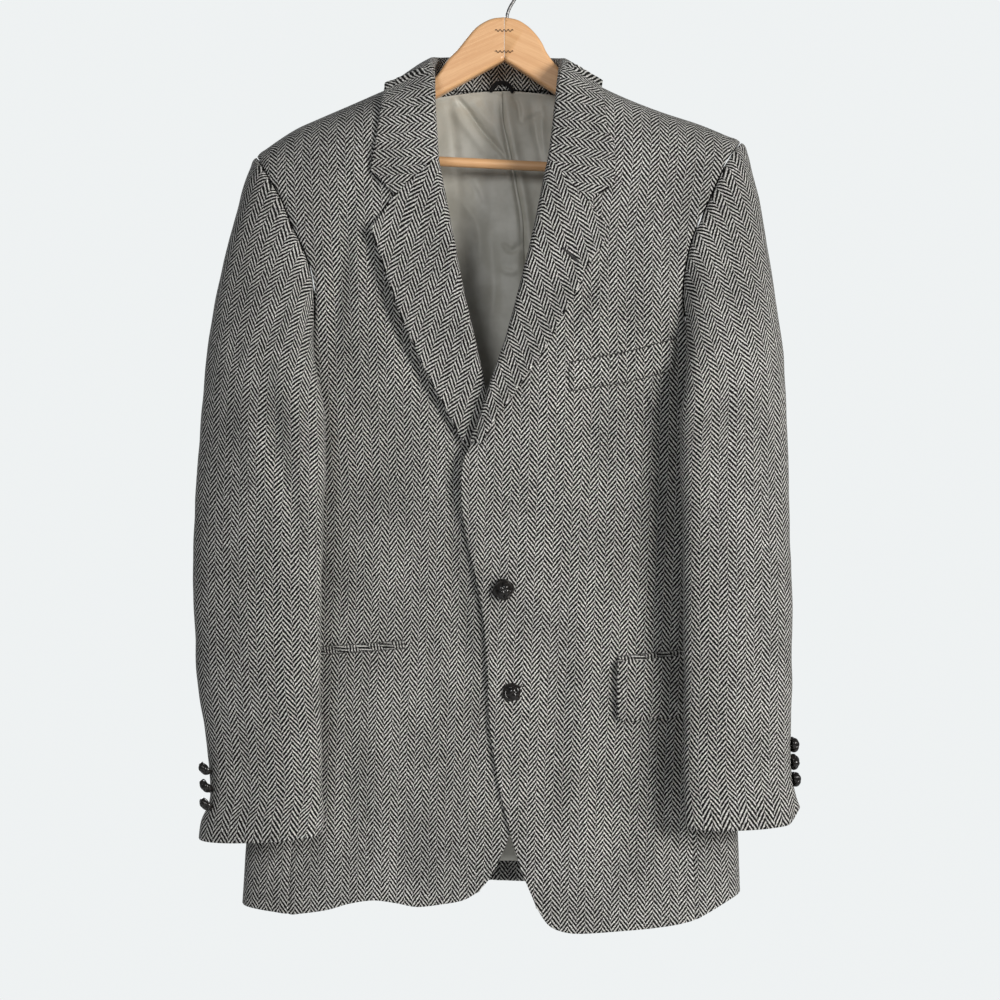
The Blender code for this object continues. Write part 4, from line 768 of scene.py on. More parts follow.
lapelForm = dict(
    roll=5.0,  # radius of the fold
    proud=3.6,  # the lapel's face over the front
    tail=6.0,
    cutTurn=20,  # degrees between a lapel's own thread and the front's
    rows={  # roll x, roll z, edge x, edge z
        -1: [
            (-61.5, -206, -125.5, -272.5), (-56.2, -233.7, -119.6, -288),
            (-46.5, -283.9, -110.5, -315.5), (-37.9, -329.9, -101.4, -344.2),
            (-28.5, -370, -84.5, -382), (-20, -408, -70.1, -412.4), (-13, -436, -54, -442.7),
            (-5, -462, -40.8, -468.3), (2, -486, -20, -490), (8, -505, -3, -507),
        ],
        1: [
            (40.6, -208, 97, -270), (37, -224, 92.7, -286.7), (33, -245, 84.5, -296),
            (25.5, -280, 76.4, -310), (17, -315, 67.2, -331.2), (8, -350, 53, -357),
            (-0.5, -380, 37, -386), (-8.5, -402.3, 21, -409), (-16.1, -425, 4, -434),
            (-23.5, -448, -11.5, -455), (-33, -472, -22, -475),
        ],
    },
    notch={-1: (-78, -217, -103, -238.6), 1: (60, -225, 79, -245.5)},  # gorge x, z, inner x, z
)

# Creases: the line's x and z, its half width, and its height, where below 0 is a trough.
frontCreases = [
    ([(-135, -246), (-127, -300), (-109, -352), (-83, -402), (-59, -440), (-42, -474)], 5, -3.2),
    ([(-112, -196), (-122, -218), (-140, -236), (-146, -262)], 6, -2.6),
    ([(-131, -182), (-128, -206), (-116, -224), (-110, -232)], 5, -2.4),
    ([(-200, -250), (-206, -300), (-204, -360)], 9, 1.6),
    ([(150, -420), (156, -500), (160, -600), (166, -720)], 11, -3.4),
    ([(-139, -250), (-130, -300), (-112, -352), (-86, -402), (-62, -440), (-44, -476)], 11, -4.6),
    ([(-50, -476), (-54, -530), (-48, -590), (-38, -650), (-33, -720), (-34, -790)], 9, -4.2),
    ([(105, -262), (97, -296), (83, -326), (63, -362), (43, -394), (23, -424)], 7, -4.6),
    ([(-26, -486), (-29, -530), (-24, -590), (-14, -650), (-8, -730), (2, -800)], 7, 1.6),
    ([(-148, -229), (-152, -290), (-160, -341), (-163, -382), (-165, -423)], 11, -5.0),
    ([(-136, -235), (-139, -300), (-146, -372)], 12, 2.2),
    ([(-71, -640), (-72, -700), (-70, -772)], 12, -2.4),
    ([(-96, -806), (-99, -850), (-104, -903)], 13, -4.2),
    ([(-120, -640), (-120, -700), (-125, -802)], 15, 2.4),
    ([(-52, -780), (-55, -858), (-58, -905)], 13, 2.6),
    ([(-140, -760), (-146, -840), (-150, -905)], 15, -2.6),
    ([(-172, -724), (-135, -719), (-97, -715)], 4, 1.1),
    ([(-176, -735), (-170, -830), (-176, -905)], 15, 2.6),
    ([(-30, -560), (-26, -640), (-28, -720)], 12, 1.6),
    ([(48, -600), (54, -667), (47, -757), (42, -832), (34, -898)], 13, -4.6),
    ([(76, -690), (74, -780), (66, -900)], 14, 2.8),
    ([(14, -640), (18, -740), (20, -850)], 11, 2.2),
    ([(39, -412), (40, -455), (38, -502)], 10, -2.4),
    ([(94, -440), (92, -480)], 8, -1.6),
    ([(134, -566), (140, -610), (144, -662)], 12, -2.4),
    ([(112, -800), (108, -850), (104, -925)], 13, -3.2),
    ([(140, -790), (140, -860), (136, -925)], 13, 2.4),
    ([(168, -800), (172, -860), (170, -920)], 12, -2.2),
    ([(118, -240), (112, -310), (104, -372)], 15, -2.6),
    ([(140, -250), (142, -320), (140, -372)], 13, 2.2),
]
backCreases = [
    ([(-150, -235), (-140, -300), (-120, -372), (-104, -430)], 13, -4.4),
    ([(150, -235), (142, -300), (128, -360), (114, -412)], 13, -4.0),
    ([(-96, -210), (-40, -222), (24, -218), (90, -206)], 9, -2.4),
    ([(-70, -246), (-10, -256), (60, -248)], 10, 1.8),
    ([(-168, -420), (-150, -520), (-146, -600)], 15, -3.4),
    ([(164, -430), (150, -530), (146, -640)], 15, -3.0),
    ([(-90, -640), (-96, -760), (-110, -900)], 15, -4.2),
    ([(-140, -720), (-150, -800), (-162, -900)], 14, 3.0),
    ([(84, -660), (92, -780), (104, -900)], 15, -3.8),
    ([(138, -700), (146, -800), (160, -900)], 15, 2.8),
    ([(-40, -720), (-36, -800), (-44, -896)], 13, 2.4),
    ([(36, -740), (40, -820), (44, -896)], 13, 2.0),
]


def bodyUneven(points):
    return uneven(points, (1.2, 150, 3), (0.6, 62, 4), (0.14, 24, 5))


def bodyCreases(turn, down, face):
    # what the cloth's folds add to the body's surface; they fade out at the shoulder and the seam
    points = body(turn, down)
    x, z = points[..., 0], points[..., 2]
    turned = np.abs(turn)
    rows, side = frontCreases, ease(turned, 0.62, 0.74)
    if face == "back":
        rows, side = backCreases, ease(2 - turned, 0.56, 0.7)
    return (creased(x, z, rows) + bodyUneven(points)) * ease(down, 6, 50) * (1 - 0.85 * side)


def edgePlaces(rows, shares, face="front"):
    line = through(rows, np.linspace(0, 1, 400))
    places = place(line[:, 0], line[:, 1], face)
    along = lengths(body(*places))
    return np.stack([np.interp(shares, along / along[-1], p) for p in places], axis=-1)


def seamPlaces(turn, levels):
    # places at levels on a line of constant turn
    levels = np.asarray(levels, float)
    middle, halfWidth, _, _ = sectionAt(levels)
    share = 2 - abs(turn) if abs(turn) > 1 else abs(turn)
    x = middle + math.copysign(1, turn) * halfWidth * np.interp(share, ringAlong, ringOut)
    return np.stack(place(x, levels, "back" if abs(turn) > 1 else "front"), axis=-1)


def patch(left, right, top, bottom, across, downwards):
    # fills an outline whose sides were read at the shares across and downwards
    u, v = across[None, :, None], downwards[:, None, None]
    corners = (
        (1 - u) * (1 - v) * top[0] + u * (1 - v) * top[-1]
        + (1 - u) * v * bottom[0] + u * v * bottom[-1]
    )
    sides = (1 - u) * left[:, None] + u * right[:, None]
    return sides + (1 - v) * top[None] + v * bottom[None] - corners


panelRows = crowded(panelForm["rows"], 0.7)
armPart = panelRows < panelForm["armRows"]
armShares = (panelRows[armPart] / panelForm["armRows"]) ** panelForm["armCrowd"]
seamShares = (panelRows[~armPart] - panelForm["armRows"]) / (1 - panelForm["armRows"])
panelColumns = crowded(panelForm["columns"], 0.75)


def armholePlaces(side, face, shares):
    seam, top = panelForm[face + "Seam"], panelForm[face + "SeamTop"]
    end = body(*seamPlaces(side * seam, [top])[0])
    return edgePlaces(panelForm[face + "Armhole"][side] + [(end[0], end[2])], shares, face)


def underarmLevel(turn):
    levels = [panelForm["frontSeamTop"], panelForm["underarm"], panelForm["backSeamTop"]]
    return smooth([panelForm["frontSeam"], 1.0, panelForm["backSeam"]], levels, turn)


def seamHem(side, face):
    if face == "back":
        return panelForm["backSeamHem"][side]
    x = body(side * panelForm["frontSeam"], 780)[0]
    return float(tabled(panelForm["hem"][side], x))


def frontInnerEdge(side):
    inset = lapelForm["roll"] + 0.5
    roll = [(row[0] + side * inset, row[1]) for row in lapelForm["rows"][side]]
    return panelForm["neckEdge"][side] + roll + panelForm["frontEdge"][side]


def parted(rows, level):
    fine = through(rows, np.linspace(0, 1, 400))
    cut = (float(np.interp(-level, -fine[:, 1], fine[:, 0])), level)
    above, below = [r for r in rows if r[1] > level + 6], [r for r in rows if r[1] < level - 6]
    return above + [cut], [cut] + below


def panelWall(name, places, lift, sewn, middleTurn=0.0):
    turn, down = places[..., 0], places[..., 1]
    normal = bodyNormal(turn, down)
    flat = lay(turn, down, lift)
    outer = drawIn(flat + normal * np.asarray(seamed(flat, sewn))[..., None], "ltrb")
    inner = drawIn(flat - normal * bodyForm["tweed"], "ltrb")
    free = "".join(s for s in "ltrb" if s not in sewn)
    clothPiece(name, outer, inner, bodyWeave(turn, down, middleTurn), free, "hung", rooted)


def frontPanel(side, name):
    seamTop = panelForm["frontSeamTop"]
    arm = armholePlaces(side, "front", armShares)
    hemLevel = seamHem(side, "front")
    seam = seamPlaces(side * panelForm["frontSeam"], seamTop + (hemLevel - seamTop) * seamShares)
    right = np.concatenate([arm, seam])
    high, low = parted(frontInnerEdge(side), lapelForm["rows"][side][-1][1] - 2)
    left = np.concatenate([edgePlaces(high, armShares), edgePlaces(low, seamShares)])
    seamX = body(*seam[-1])[0]
    hem = [row for row in panelForm["hem"][side] if abs(row[0]) < abs(seamX)]
    bottom = edgePlaces(hem + [(seamX, hemLevel)], panelColumns)
    neck, tip = (panelForm[k][side][0][0] for k in ("neckEdge", "frontArmhole"))
    topX = neck + (tip - neck) * panelColumns
    top = np.stack(place(topX, shoulderAt(topX)), axis=-1)
    right[0], left[0], bottom[0], bottom[-1] = top[-1], top[0], left[-1], right[-1]
    places = patch(left, right, top, bottom, panelColumns, panelRows)
    x, _, z = np.moveaxis(body(places[..., 0], places[..., 1]), -1, 0)
    lift = bodyCreases(places[..., 0], places[..., 1], "front")
    if side == 1:
        lift = lift + lapLift(x, z)
    else:  # flat where the other front laps over it
        lift = np.where((lapLift(x, z) > 0.5) & (x > -60), np.minimum(lift, 0.3), lift)
    panelWall(name, places, lift, "rt")


def sidePanel(side, name):
    first, last = side * panelForm["frontSeam"], side * panelForm["backSeam"]
    turns = first + (last - first) * crowded(36, 0.6)
    rows = crowded(100, 0.5)
    tops = underarmLevel(np.abs(turns))
    levels = [seamHem(side, "front"), panelForm["sideHem"][side], seamHem(side, "back")]
    keys = [panelForm["frontSeam"], 1.0, panelForm["backSeam"]]
    hems = smooth(keys, levels, np.abs(turns))
    lines = [seamPlaces(t, a + (b - a) * rows) for t, a, b in zip(turns, tops, hems)]
    places = np.stack(lines, axis=1)
    lift = 0.3 * bodyUneven(body(places[..., 0], places[..., 1]))
    panelWall(name, places, lift, "lrt", float(side))


def backPanel(side, name):
    seamTop, centre = panelForm["backSeamTop"], panelForm["centreHem"]
    hemLevel, neckLevel = seamHem(side, "back"), panelForm["neckLevel"]
    arm = armholePlaces(side, "back", armShares)
    seam = seamPlaces(side * panelForm["backSeam"], seamTop + (hemLevel - seamTop) * seamShares)
    right = np.concatenate([arm, seam])
    high = neckLevel + (seamTop - neckLevel) * armShares
    levels = np.concatenate([high, seamTop + (centre - seamTop) * seamShares])
    middle = sectionAt(levels)[0]
    left = together(np.full(len(levels), side * 2.0), place(middle, levels, "back")[1])
    neck, tip = (panelForm[k][side][0][0] for k in ("neckEdge", "backArmhole"))
    neckShares = np.array([0, 0.38, 0.68, 0.88, 1])
    inwards = middle[0] + (neck - middle[0]) * neckShares
    coarse = np.concatenate([inwards, np.linspace(neck, tip, 7)[1:]])
    x = np.interp(panelColumns, np.linspace(0, 1, 11), coarse)
    low = np.minimum(tabled(panelForm["backNeck"], x), shoulderAt(x))
    z = np.where(np.abs(x) < abs(neck), low, shoulderAt(x))
    top = np.stack(place(x, z, "back"), axis=-1)
    top[0] = left[0]
    right[0] = top[-1]
    turns = side * (2.0 + (panelForm["backSeam"] - 2.0) * panelColumns)
    hems = centre + (hemLevel - centre) * panelColumns
    bottom = np.array([seamPlaces(t, [h])[0] for t, h in zip(turns, hems)])
    bottom[:, 0] = turns
    bottom[0], bottom[-1] = left[-1], right[-1]
    places = patch(left, right, top, bottom, panelColumns, panelRows)
    lift = bodyCreases(places[..., 0], places[..., 1], "back")
    lift = lift * ease(edgeDistance(body(places[..., 0], places[..., 1]), "l"), 0, 14)
    panelWall(name, places, lift, "lrt", side * 2.0)


for side, word in sides:
    frontPanel(side, "front_" + word)
    sidePanel(side, "side_" + word)
    backPanel(side, "back_" + word)
print("stage: panels done")


# sleeves

sleeveForm = dict(
    holeGap=0.8,
    underOut=2.0,  # how far outside the side panel the under sleeve lies
    underThinner=1.3,
    twist=54,  # degrees that the cloth under the arm lies further round than at its top
    cuffDip=5.0,
    cuffCorner={-1: 0.0, 1: 11.0},  # how far the cuff's outer corner is turned up
    stripeWidth={-1: 0.963, 1: 0.94},
    foreSeam=0.39,  # seams, as shares of the armhole from the shoulder, frontwards
    hindSeam=0.97,
    headRows=40,
    ringRows=84,
    ringPower=2.2,
    rings={  # z, outer x, inner x, y, half depth, tilt, rise
        -1: [
            (-432, -287.5, -168, -53, 24, 24, 34), (-485, -291.5, -168, -55, 24, 21, 16),
            (-550, -295, -170, -56, 24, 18, 4), (-620, -296, -171.5, -57, 23, 16, 0),
            (-700, -292, -172, -58, 22, 15, 0), (-748, -284.6, -171.5, -58.5, 21.5, 14, -2),
            (-790, -280, -171, -59, 21, 14, -4), (-812, -280, -170.5, -59, 20.5, 14, -6),
            (-829, -286.5, -170, -59, 20, 14, -7), (-845, -289.5, -171, -59, 20, 14, -9),
        ],
        1: [
            (-432, 268, 167, -53, 24, 24, 34), (-485, 270, 167, -55, 24, 21, 16),
            (-550, 271.5, 168, -56, 24, 18, 4), (-620, 273, 168.5, -57, 23, 16, 0),
            (-700, 273.5, 169, -58, 22, 15, 0), (-756, 271.8, 170, -59, 21, 14, 0),
            (-790, 272.8, 169.5, -59, 20.5, 14, 2), (-812, 277, 169.5, -59, 20, 14, 2),
            (-833, 280.5, 171, -59, 20, 14, 3),
        ],
    },
    # How it leaves the armhole: share, then its direction's parts out of the cloth and into
    # the hole, and how far it keeps that direction.
    head=[
        (0.0, 0.45, 1.0, 34), (0.12, 0.7, 0.8, 44), (0.27, 1.0, 0.6, 46), (0.4, 1.0, -0.2, 30),
        (0.5, 1.0, -0.8, 24), (0.6, 1.0, -0.5, 26), (0.75, 1.0, 0.4, 40), (0.88, 0.7, 0.8, 44),
        (1.0, 0.45, 1.0, 34),
    ],
)
sleeveCreases = {
    ("front", -1): [
        ([(-230, -385), (-213, -477), (-196, -545), (-190, -600)], 11, -5.2),
        ([(-254, -374), (-254, -402)], 7, -2.2),
        ([(-246, -430), (-238, -475), (-228, -520)], 11, 3.0),
        ([(-235, -214), (-206, -270), (-183, -329)], 9, 2.0),
        ([(-204, -330), (-214, -360), (-232, -384)], 9, -2.4),
        ([(-262, -560), (-258, -640), (-262, -700)], 14, -2.0),
        ([(-214, -620), (-206, -700), (-204, -780)], 12, 1.8),
        ([(-240, -740), (-246, -800), (-244, -840)], 13, -1.8),
        ([(-190, -640), (-186, -720), (-190, -800)], 10, -1.8),
    ],
    ("front", 1): [
        ([(206, -250), (212, -310), (200, -372)], 11, -2.6),
        ([(232, -300), (238, -380), (232, -460)], 13, 2.4),
        ([(196, -392), (206, -470), (196, -556)], 12, -3.2),
        ([(250, -420), (254, -500), (250, -580)], 13, -2.0),
        ([(214, -560), (220, -660), (214, -760)], 13, 2.0),
        ([(242, -640), (240, -720), (246, -800)], 13, -2.2),
        ([(188, -620), (186, -700), (190, -800)], 11, -2.0),
    ],
    ("back", -1): [
        ([(-196, -250), (-210, -320), (-200, -390)], 12, -3.4),
        ([(-222, -420), (-214, -500), (-226, -580)], 13, -3.4),
        ([(-252, -470), (-250, -560), (-256, -650)], 13, 2.2),
        ([(-206, -620), (-214, -700), (-206, -790)], 13, -2.4),
    ],
    ("back", 1): [
        ([(186, -255), (204, -320), (196, -390)], 12, -3.4),
        ([(214, -420), (206, -510), (218, -600)], 13, -3.2),
        ([(240, -480), (240, -570), (246, -650)], 13, 2.2),
        ([(204, -640), (212, -720), (206, -790)], 13, -2.2),
    ],
}


def armholeRing(side, share):
    # points on the armhole and the body's outward directions there
    fine = np.linspace(0, 1, 60)
    front, back = armholePlaces(side, "front", fine), armholePlaces(side, "back", fine)
    seams = np.array([panelForm["frontSeam"], 1.0, panelForm["backSeam"]])
    found = np.empty(share.shape + (6,))
    share = np.mod(share, 1.0)
    for second, line in enumerate((front, back[::-1])):
        turns = side * np.linspace(seams[second], seams[second + 1], 30)
        under = np.array([seamPlaces(t, [underarmLevel(abs(t))])[0] for t in turns])
        places = np.concatenate([line, under[1:]] if not second else [under, line[1:]])
        both = [body(places[:, 0], places[:, 1]), bodyNormal(places[:, 0], places[:, 1]) * 20]
        both = np.concatenate(both, axis=1)
        along = lengths(both[:, :3])
        mine = (share >= 0.5) == bool(second)
        for k in range(6):
            read = np.interp((share - 0.5 * second) * 2, along / along[-1], both[:, k])
            found[..., k] = np.where(mine, read, found[..., k])
    return found[..., :3], unit(found[..., 3:])


def levelPoint(turn, z, out):
    # a point at a level, out from the body's ring there
    ring = []
    for near in (turn, turn - 0.003, turn + 0.003):
        share = np.where(np.abs(near) > 1, 2 - np.abs(near), np.abs(near))
        middle, halfWidth, front, back = sectionAt(z)
        x = middle + halfWidth * np.interp(share, ringAlong, ringOut) * np.sign(near)
        y = np.where(np.abs(near) > 1, back, -front) * np.interp(share, ringAlong, ringDeep)
        ring.append(together(x, y))
    along = ring[2] - ring[1]
    normal = unit(together(along[..., 1], -along[..., 0]))
    point = ring[0] + normal * np.asarray(out)[..., None]
    return np.concatenate([point, np.asarray(z)[..., None]], axis=-1)


def levelPlace(side, point):
    # the turn of the nearest point of the body's ring at a point's level, and its distance
    turns = side * np.linspace(0.3, 1.5, 700)
    ring = levelPoint(turns, np.full(turns.shape, point[2]), np.zeros(turns.shape))
    away = np.linalg.norm(ring[:, :2] - point[:2], axis=1)
    nearest = int(np.argmin(away))
    return turns[nearest], away[nearest]


def sleeveRing(side, row, share, isLast):
    z, outer, inner, deep, halfDepth, tilt, rise = row
    angle = 2 * math.pi * share + math.radians(sleeveForm["twist"]) * np.sin(math.pi * share) ** 2
    tiltSine, tiltCosine = math.sin(math.radians(tilt)), math.cos(math.radians(tilt))
    half, power = abs(outer - inner) / 2, 2 / sleeveForm["ringPower"]
    reach = math.sqrt(half**2 - (halfDepth * tiltSine) ** 2) / tiltCosine
    cosine, sine = np.cos(angle), np.sin(angle)
    longWay = reach * np.sign(cosine) * np.abs(cosine) ** power
    shortWay = halfDepth * np.sign(sine) * np.abs(sine) ** power
    x = (outer + inner) / 2 + side * (longWay * tiltCosine + shortWay * tiltSine)
    y = deep + longWay * tiltSine - shortWay * tiltCosine
    level = z + rise / 2 * cosine
    if isLast:
        level += sleeveForm["cuffCorner"][side] * ease(cosine, 0.7, 1)
        level -= sleeveForm["cuffDip"] * sine
    return together(x, y, level)


def sleeveSurface(side, share):
    # rows of the sleeve's surface at shares round it, from its armhole to its hem
    share = np.asarray(share, float)
    start, normal = armholeRing(side, share)
    middle = armholeRing(side, np.linspace(0, 0.98, 50))[0].mean(axis=0)
    tangent = armholeRing(side, share + 0.004)[0] - armholeRing(side, share - 0.004)[0]
    into = unit(np.cross(tangent, normal))
    into *= np.sign(np.sum(into * (middle - start), axis=-1, keepdims=True))
    at = np.mod(share, 1.0)
    low = ease(at, 0.3, 0.42) * (1 - ease(at, 0.72, 0.86))
    start = start + into * sleeveForm["holeGap"] + normal * (sleeveForm["underOut"] * low)[:, None]
    outwards, inwards, reach = (tabled(sleeveForm["head"], at, k)[:, None] for k in (1, 2, 3))
    leave = unit(normal * outwards + into * inwards) * reach
    table = sleeveForm["rings"][side]
    rings = np.array([sleeveRing(side, row, share, row is table[-1]) for row in table])
    away = np.linalg.norm(rings[0] - start, axis=-1, keepdims=True)
    arrive = unit(rings[1] - rings[0]) * 0.85 * away
    ends = [[levelPlace(side, point) for point in line] for line in (start, rings[0])]
    (turnA, outA), (turnB, outB) = (np.array(end).T for end in ends)
    rows = []
    for v in np.linspace(0, 1, sleeveForm["headRows"], endpoint=False) ** 1.25:
        free = (
            start * (1 + 2 * v) * (1 - v) ** 2 + leave * v * (1 - v) ** 2
            + rings[0] * v * v * (3 - 2 * v) - arrive * v * v * (1 - v)
        )
        t = ease(v, 0, 1)
        level = start[:, 2] + (rings[0][:, 2] - start[:, 2]) * v
        held = levelPoint(turnA + (turnB - turnA) * t, level, outA + (outB - outA) * t)
        rows.append(free + (held - free) * (low * ease(v, 0, 0.05))[:, None])
    down = np.linspace(0, 1, sleeveForm["ringRows"])
    down = down + 0.06 * np.sin(math.pi * down) ** 2
    return np.concatenate([np.array(rows), through(rings, down)])


def unrolled(grid, row, middle):
    # flat places of a grid's points, measured from one of its rows and one of its columns
    downs = np.linalg.norm(np.diff(grid, axis=0), axis=-1)
    v = np.concatenate([np.zeros((1, grid.shape[1])), np.cumsum(downs, axis=0)])
    v = v - v[row : row + 1]
    v[row:] = v[row:].mean(axis=1, keepdims=True)
    steps = np.linalg.norm(np.diff(grid, axis=1), axis=-1)
    across = np.sqrt(np.maximum(steps**2 - np.diff(v, axis=1) ** 2, (0.35 * steps) ** 2))
    u = np.concatenate([np.zeros((grid.shape[0], 1)), np.cumsum(across, axis=1)], axis=1)
    return together(u - u[:, middle : middle + 1], v)


def sleevePiece(side, name, shares, *nodes):
    step = 0.004
    grid = sleeveSurface(side, shares)
    roundIt = sleeveSurface(side, shares + step) - sleeveSurface(side, shares - step)
    normal = side * unit(np.cross(roundIt, np.gradient(grid, axis=0)))
    for _ in range(8):
        normal[1:-1] = normal[:-2] + 2 * normal[1:-1] + normal[2:]
        normal = unit(normal)
    head = sleeveForm["headRows"]
    rows = np.arange(len(grid))[:, None]
    at = np.mod(shares, 1.0)[None]
    low = ease(at, 0.34, 0.44) * (1 - ease(at, 0.7, 0.84))
    near = 1 - ease(rows, head * 0.6, head + 8)
    weave = unrolled(grid, head, len(shares) // 2)
    weave[..., 0] *= sleeveForm["stripeWidth"][side]
    lift = 0.0
    for face, way in (("front", -1), ("back", 1)):
        facing = ease(way * normal[..., 1], -0.15, 0.55)
        lift = lift + creased(grid[..., 0], grid[..., 2], sleeveCreases[face, side]) * facing
    lift = lift + uneven(grid, (0.8, 120, 13), (0.5, 55, 14), (0.12, 24, 15))
    lift = (lift * ease(rows, 0, 8) + seamed(grid, "tlr")) * (1 - near * low)
    # the eased-in fullness of a sleeve's head
    fullness = np.sin(2 * math.pi * weave[..., 0] / 31) * np.exp(-(((rows - 5) / 4.5) ** 2))
    lift = lift + 0.35 * fullness * (1 - low)
    outer = drawIn(grid + normal * lift[..., None], "lr")
    thickness = bodyForm["tweed"] - sleeveForm["underThinner"] * near * low
    inner = drawIn(grid + normal * np.minimum(lift, 0.6)[..., None], "lr")
    inner = inner - normal * thickness[..., None]
    clothPiece(name, outer, inner, weave, "b", "hung", rooted, nodes=nodes)


for side, word in sides:
    fore, hind = sleeveForm["foreSeam"], sleeveForm["hindSeam"]
    topShares = hind - 1 + (fore - hind + 1) * crowded(64, 0.55)
    top, under = "sleeve_top_" + word, "sleeve_under_" + word
    sleevePiece(side, top, topShares, top, "sleeve_forearm_" + word)
    sleevePiece(side, under, fore + (hind - fore) * crowded(64, 0.3))
print("stage: sleeves done")


# collar, lapels and pockets

collarForm = dict(
    rows=168,
    columns=60,
    out=3.6,
    tail=2.5,
    lowestStand=-120.0,  # under this level it turns straight round the front's edge
    # fold x, y, z, neck edge x, z, tuck, outer edge x, z, face
    table=[
        (-61.5, -48, -205.4, -68, -205, 6.3, -126, -214.6, "front"),
        (-62.8, -46.5, -181, -69.5, -183, 6.3, -122.5, -197, "front"),
        (-65, -43, -150, -70.8, -152, 6, -117.5, -167, "front"),
        (-66.8, -32, -127, -71.2, -131, 4.5, -114.5, -146, "front"),
        (-67.8, -16, -109.5, -70.8, -118.5, 1, -109, -130, "front"),
        (-66.5, 4, -99.5, -70.5, -115.4, 0, -106.5, -131, "back"),
        (-59, 23, -95, -60, -119.5, 7, -91, -139, "back"),
        (-42, 35, -92.5, -45, -122, 7.5, -66, -144, "back"),
        (-22, 42, -91.2, -23, -122, 7.5, -32, -146, "back"),
        (-6, 44, -91, -6, -122, 7.5, -6, -146.5, "back"),
        (12, 42, -91.5, 12, -122, 7.5, 20, -146, "back"),
        (31, 36, -93, 33, -122, 7.5, 48, -143, "back"),
        (47, 24, -95.5, 48, -118, 7, 74, -137, "back"),
        (55, 5, -100.3, 59.4, -110.6, 0, 86, -128.5, "back"),
        (53.5, -17, -109, 59, -114, 0.8, 87.5, -126.2, "front"),
        (50.8, -31, -127, 56, -127, 4.5, 93.7, -143, "front"),
        (48, -42.5, -150, 53.6, -152, 6, 96, -168, "front"),
        (44.5, -46.5, -180, 50.4, -182, 6.3, 103.5, -194, "front"),
        (40.6, -48, -207.2, 47, -206, 6.3, 104.5, -228.8, "front"),
    ],
)


def clothLift(points, face):
    # how far the cloth itself stands off the body there, with its creases and the lap
    turn, down = place(points[..., 0], points[..., 2], face)
    lift = bodyCreases(turn, down, face)
    if face == "front":
        lift = lift + lapLift(points[..., 0], points[..., 2]) * (points[..., 0] > -40)
    return lift


def offBody(points, least):
    # moves points that are nearer to the creased cloth than that out of it
    points = points.copy()
    for _ in range(3):
        x, y, z = points[..., 0], points[..., 1], points[..., 2]
        surface, normal = np.empty_like(points), np.empty_like(points)
        for face, mine in (("front", y <= 0), ("back", y > 0)):
            turn, down = place(x, z, face)
            n = bodyNormal(turn, down)
            over = np.maximum(clothLift(points, face), 0)
            surface[mine] = (body(turn, down) + n * over[..., None])[mine]
            normal[mine] = n[mine]
        height = np.sum((points - surface) * normal, axis=-1)
        points += normal * np.maximum(least - height, 0)[..., None]
    return points


def foldInCloth(side, rollX, rollZ):
    found, roll = [], lapelForm["roll"]
    for angle in np.radians((-90, -45, 0, 45, 90)):
        inset = roll * (1 - math.cos(angle))
        out = roll * math.sin(angle) - bodyForm["tweed"] / 2
        found.append(onBody(rollX + side * inset, rollZ, out))
    return found


def collarSection(row, previous, following, end):
    # the collar's face at one station: neck, stand, fold, leaf and edge
    foldX, foldY, foldZ, neckX, neckZ, tuck, edgeX, edgeZ, face = row
    roll, out = lapelForm["roll"], collarForm["out"]
    side = -1 if neckX < panelForm["neckCentre"] else 1
    edge = onBody(edgeX, edgeZ, out, face)
    if foldZ < collarForm["lowestStand"]:
        inset = side * (roll + collarForm["tail"])
        neck = onBody(foldX + inset, foldZ, -roll - bodyForm["tweed"] / 2)
        folded = foldInCloth(side, foldX, foldZ)
        gorge = onBody(*(folded[-1] + (edge - folded[-1]) * 0.3)[[0, 2]], out + 0.6)
        inner = onBody(*(folded[-1] + (edge - folded[-1]) * 0.66)[[0, 2]], out)
        if end is not None:
            gorge, inner = onBody(end[0], end[1], out), onBody(end[2], end[3], out)
        return np.array([neck] + folded + [gorge, inner, edge])
    neck = onBody(neckX, neckZ, -tuck, face)
    fold = np.array([foldX, foldY, foldZ], float)
    along = unit(np.array(following[:3], float) - np.array(previous[:3], float))
    crest = fold - (neck + edge) / 2
    crest = unit(crest - along * np.dot(crest, along))
    across = np.cross(along, crest)
    across *= np.sign(np.dot(across, bodyNormal(*place(neckX, neckZ, face))))
    centre = fold - roll * crest
    turns = np.radians([-80, -42, 0, 42, 80])
    folded = [centre + roll * (crest * math.cos(t) + across * math.sin(t)) for t in turns]
    gorge = folded[-1] + (edge - folded[-1]) * 0.3 + across * 2.0 + crest
    inner = folded[-1] + (edge - folded[-1]) * 0.66 + across * 2.0
    return np.array([neck] + folded + [gorge, inner, edge])


def finer(rows, shares, straight):
    # more columns on smooth curves; where straight is 1 they keep a row's corners
    coarse = np.moveaxis(rows, 1, 0)
    at = np.interp(shares, chordShares(coarse), np.arange(len(coarse)))
    low = np.clip(at.astype(int), 0, len(coarse) - 2)
    part = (at - low)[:, None, None]
    cornered = coarse[low] * (1 - part) + coarse[low + 1] * part
    curved = through(coarse, shares)
    return np.moveaxis(curved + (cornered - curved) * straight, 0, 1)


def acrossLength(grid, zero):
    # lengths along each row, measured from one of its columns
    steps = np.linalg.norm(np.diff(grid, axis=1), axis=-1)
    along = np.concatenate([np.zeros((grid.shape[0], 1)), np.cumsum(steps, axis=1)], axis=1)
    return along - along[:, zero : zero + 1]


